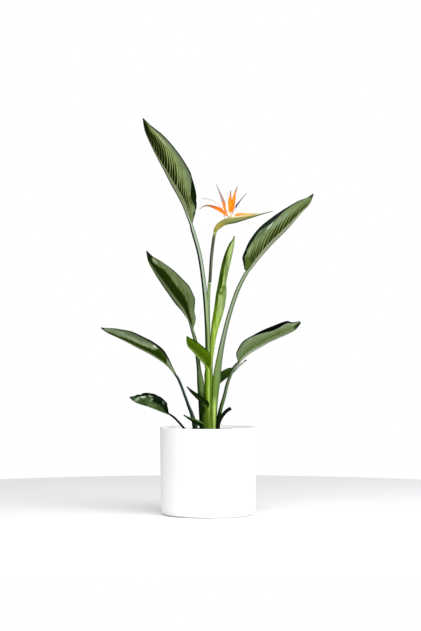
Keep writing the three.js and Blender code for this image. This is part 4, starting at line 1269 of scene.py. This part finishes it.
def beak_skin(paint):
    """Olive with sea-green streaks, rust-pink clouds and freckles, a golden lip and a dark keel."""
    along = paint.reading("along")
    up = paint.reading("across")
    cloud = paint.noise(60, 3)
    freckle = paint.noise(420, 2).step(0.58, 0.68)
    streak = paint.noise(200, 3, (0.15, 1, 1))
    colour = along.ramp(
        (0, tone(120, 128, 50)), (0.16, tone(146, 138, 56)), (0.3, tone(120, 126, 52)),
        (0.45, tone(116, 126, 68)), (0.62, tone(108, 114, 50)), (0.8, tone(88, 96, 44)),
        (1, tone(104, 100, 80)),
    )
    colour = (0.5 * streak.step(0.45, 0.7) * along.step(0.25, 0.35)).mix(colour, tone(92, 122, 86))
    rust = cloud.step(0.5, 0.66) * along.step(0.2, 0.4) * (1 - along.step(0.6, 0.75))
    colour = (0.45 * rust).mix(colour, tone(178, 120, 92))
    colour = (0.7 * freckle * (1 - along.step(0.3, 0.45))).mix(colour, tone(186, 120, 96))
    gold = (up + 0.3 * cloud).step(0.7, 0.95) * along.step(0.3, 0.42) * (1 - along.step(0.75, 0.9))
    colour = (0.85 * gold).mix(colour, tone(196, 172, 70))
    keel = (1 - (up + 0.2 * cloud).step(-0.75, -0.2)) * along.step(0.25, 0.4)
    return (0.85 * keel).mix(colour, tone(62, 72, 28)), 0.5, 0.6 * streak + 0.4 * cloud


beak_paint = material("beak_skin", beak_skin, bump=0.0003, Specular_IOR_Level=0.15)
piece("fine_bract", [beak()], beak_paint, "spathe", "flower_spathe", crease=40)


# The open flower: four pointed sepals on one creamy base. They are thin, folded a little along the middle,
# and their orange runs out to dusky tips.
PETAL_THICKNESS = 1.6 * MM
PETAL_FOLD = 0.35
PETAL_ROWS = 90
PETAL_COLUMNS = 29
PETAL_RIBS = 9
PETAL_RIB_HEIGHT = 0.035 * MM
SEPALS = [
    [
        [62, 2.5, 866, 2.4], [63, 1, 880, 4.4], [63.5, 0, 892, 6], [63, -2, 908, 5.8], [64, -4, 923, 3],
        [65, -6, 940, 0.9],
    ],
    [
        [64, 3, 866, 2.4], [68, 4, 880, 4], [71, 5, 892, 5.4], [74, 6, 914, 5], [78, 8, 933, 3],
        [85, 10, 953, 0.9],
    ],
    [
        [58, 3, 864, 2.2], [53, 5, 876, 2.8], [48, 6, 886, 3.6], [45, 8, 902, 5], [39.5, 10, 918, 3.8],
        [32, 12, 938, 2], [23, 14, 958, 0.8],
    ],
    [
        [60, 2, 863, 2], [52, 0, 869, 2.6], [46, -2, 874, 3.8], [34, -4, 883.5, 5.6], [19, -6, 890, 4.4],
        [2, -8, 895, 2.8], [-12, -9, 894, 1.8], [-26, -10, 884, 0.8],
    ],
]
SEPAL_BASE = {"at": (62, 2.9, 865.6), "half": (7.5, 2.7, 4.4)}


def sepal(points, which):
    """A slender sheet. w runs from -1 to 1 across it, its middle stands fold (1 - |w|^1.4) to the back, its
    thickness fades towards the edges as 1 - w^4, and fine ribs run from base to tip."""
    route = Route(points, rooted=False)
    i = np.linspace(0, route.last, PETAL_ROWS)
    place, inward, near, size = route.at(i)
    w = np.linspace(-1, 1, PETAL_COLUMNS)[None, :]
    size = size[:, None]
    fold = -PETAL_FOLD * size * (1 - np.abs(w) ** 1.4)
    ribs = PETAL_RIB_HEIGHT * np.cos(PETAL_RIBS * np.pi * w)
    thick = np.minimum(PETAL_THICKNESS, size) / 2 * (0.3 + 0.7 * (1 - w**4)) + ribs
    flat = place[:, None] + (size * w)[..., None] * inward[:, None]
    front = flat + (fold + thick)[..., None] * near[:, None]
    back = flat + (fold - thick)[..., None] * near[:, None]
    along = (i / route.last)[:, None]
    return sheet(front, back, {"along": (along, along), "across": (w, w), "which": (which, which)})


def flower_base():
    """A ball stretched along the three axes: centre + half (cos a cos b, sin a cos b, sin b)."""
    b = np.radians(np.linspace(-88, 88, 24))[:, None]
    a = np.linspace(0, 2 * np.pi, 32, endpoint=False)[None, :]
    unit_ball = np.stack([np.cos(a) * np.cos(b), np.sin(a) * np.cos(b), np.sin(b) + 0 * a], axis=-1)
    grid = (np.array(SEPAL_BASE["at"]) + np.array(SEPAL_BASE["half"]) * unit_ball) * MM
    return tube(grid, {"along": 0, "across": 0, "which": 4})


def sepal_skin(paint):
    """Cream at the base, then clear orange, redder along both edges, with dusky tips. The third sepal is
    grey from the middle on, and the fourth, the long arched one, is a deeper orange."""
    along = paint.reading("along")
    signed = paint.reading("across")
    which = paint.reading("which")
    streak = paint.noise(300, 3, (1, 1, 0.12))
    cloud = paint.noise(110, 2)
    orange = streak.step(0.3, 0.7).mix(tone(240, 122, 6), tone(250, 150, 28))
    orange = (0.6 * signed.absolute().step(0.5, 0.95)).mix(orange, tone(214, 96, 8))
    colour = along.step(0.66, 0.92).mix(orange, tone(150, 116, 98))
    grey = which.step(1.5, 1.6) * (1 - which.step(2.4, 2.5))
    dusky = along.ramp(
        (0, tone(214, 112, 20)), (0.36, tone(226, 128, 34)), (0.5, tone(196, 124, 72)),
        (0.62, tone(140, 122, 122)), (1, tone(142, 138, 142)),
    )
    colour = (0.85 * grey).mix(colour, dusky)
    long_one = which.step(2.5, 2.6) * (1 - which.step(3.4, 3.5))
    arched = along.ramp(
        (0, tone(176, 96, 20)), (0.2, tone(206, 104, 6)), (0.45, tone(224, 110, 4)),
        (0.6, tone(170, 80, 16)), (0.78, tone(122, 98, 62)), (1, tone(140, 142, 122)),
    )
    colour = (0.9 * long_one).mix(colour, arched)
    cream = (1 - along.step(0.06, 0.22)) * (1 - long_one) + which.step(3.5, 3.6)
    pale = (0.5 * cloud.step(0.55, 0.65)).mix(tone(236, 226, 206), tone(214, 158, 128))
    return cream.mix(colour, pale), 0.5, streak


sepal_paint = material("sepal_skin", sepal_skin, bump=0.0002, Specular_IOR_Level=0.1)
open_sepals = [sepal(points, which) for which, points in enumerate(SEPALS)]
piece("fine_sepals", [*open_sepals, flower_base()], sepal_paint, "orange_petal", "flower_sepals", crease=60)


# The next flower's sepal, which shows as a low orange fin between the lips of the slot.
# It is as thin as the open ones and turns golden, then greenish, towards the beak's tip.
SEPAL_IN_SPATHE = [
    [77, -0.5, 867.2, 2.6], [84, -0.8, 869.4, 3.7], [96, -1.2, 870.6, 3.8], [112, -2, 870.2, 3.3],
    [128, -3, 870.6, 2.5], [143, -4, 872.2, 1.2],
]


def fin_skin(paint):
    along = paint.reading("along")
    up = paint.reading("across")
    streak = paint.noise(300, 3, (0.15, 1, 1))
    orange = streak.step(0.3, 0.7).mix(tone(212, 122, 18), tone(232, 146, 40))
    golden = along.step(0.25, 0.6).mix(orange, tone(208, 170, 84))
    golden = along.step(0.6, 1).mix(golden, tone(170, 160, 104))
    return (0.4 * (1 - up.step(-0.8, 0.2))).mix(golden, tone(190, 150, 60)), 0.5, streak


fin = ringed(Route(SEPAL_IN_SPATHE, rooted=False), rows=120, sides=36, flatness=0.45)
fin_paint = material("fin_skin", fin_skin, bump=0.0002, Specular_IOR_Level=0.1)
piece("fine_fin", [fin], fin_paint, "orange_petal", "flower_sepal_in_spathe")


# The tongue: two blue petals joined into an arrow.
# It stands on a pale shaft beside the sepals' base, and its blue dulls to grey at the tip.
TONGUE = [
    [65.5, -3.2, 862.9, 1.5], [71, -5, 874, 1.3], [77.5, -6, 886, 1.2], [79, -6, 889, 1.6],
    [83, -6.5, 897, 2.5], [92, -7, 909, 1.6], [101, -8, 920, 1.1], [111, -9, 932, 0.7],
]


def arrow_section(i, angle):
    """Round on the shaft, then keeled: the sides stand out and the middle of each face sinks in."""
    keeled = np.clip(i - 3, 0, 1)
    return 1 - 0.3 * keeled * np.cos(2 * angle) ** 4 + 0.3 * keeled * np.abs(np.cos(angle)) ** 6


def tongue_skin(paint):
    along = paint.reading("along")
    streak = paint.noise(300, 3, (1, 1, 0.2))
    colour = along.ramp(
        (0, tone(216, 206, 200)), (0.36, tone(196, 180, 190)), (0.44, tone(52, 26, 60)),
        (0.54, tone(66, 46, 84)), (0.7, tone(98, 82, 100)), (1, tone(112, 104, 110)),
    )
    return (0.35 * streak).mix(colour, tone(58, 48, 84)), 0.45, streak


tongue = ringed(Route(TONGUE, rooted=False), rows=140, sides=32, shape=arrow_section)
tongue_paint = material("tongue_skin", tongue_skin, bump=0.0002, Specular_IOR_Level=0.2)
piece("fine_tongue", [tongue], tongue_paint, "blue_petal", "flower_tongue")


# The strand: a withered thread of an older flower.
# It grows from the bract's lip, bends away to the left and is pale and dry.
STRAND = [
    [48, 4, 857.5, 1.2], [44, 6, 876, 1.2], [38, 7, 890, 1.2], [22, 8, 905, 1.2], [10, 9, 912, 1.1],
    [-6, 10, 916, 0.9], [-20, 11, 916, 0.6],
]


def withered(paint):
    along = paint.reading("along")
    streak = paint.noise(400, 4, (1, 1, 0.3))
    colour = along.ramp(
        (0, tone(214, 190, 170)), (0.5, tone(224, 196, 178)), (0.8, tone(170, 164, 158)),
        (1, tone(120, 122, 118)),
    )
    return (0.35 * streak).mix(colour, tone(186, 150, 128)), 0.6, streak


strand = ringed(Route(STRAND, rooted=False), rows=160, sides=24, shape=shrivelled)
piece("fine_strand", [strand], material("withered", withered, bump=0.0003), "pale_strand", "flower_strand")
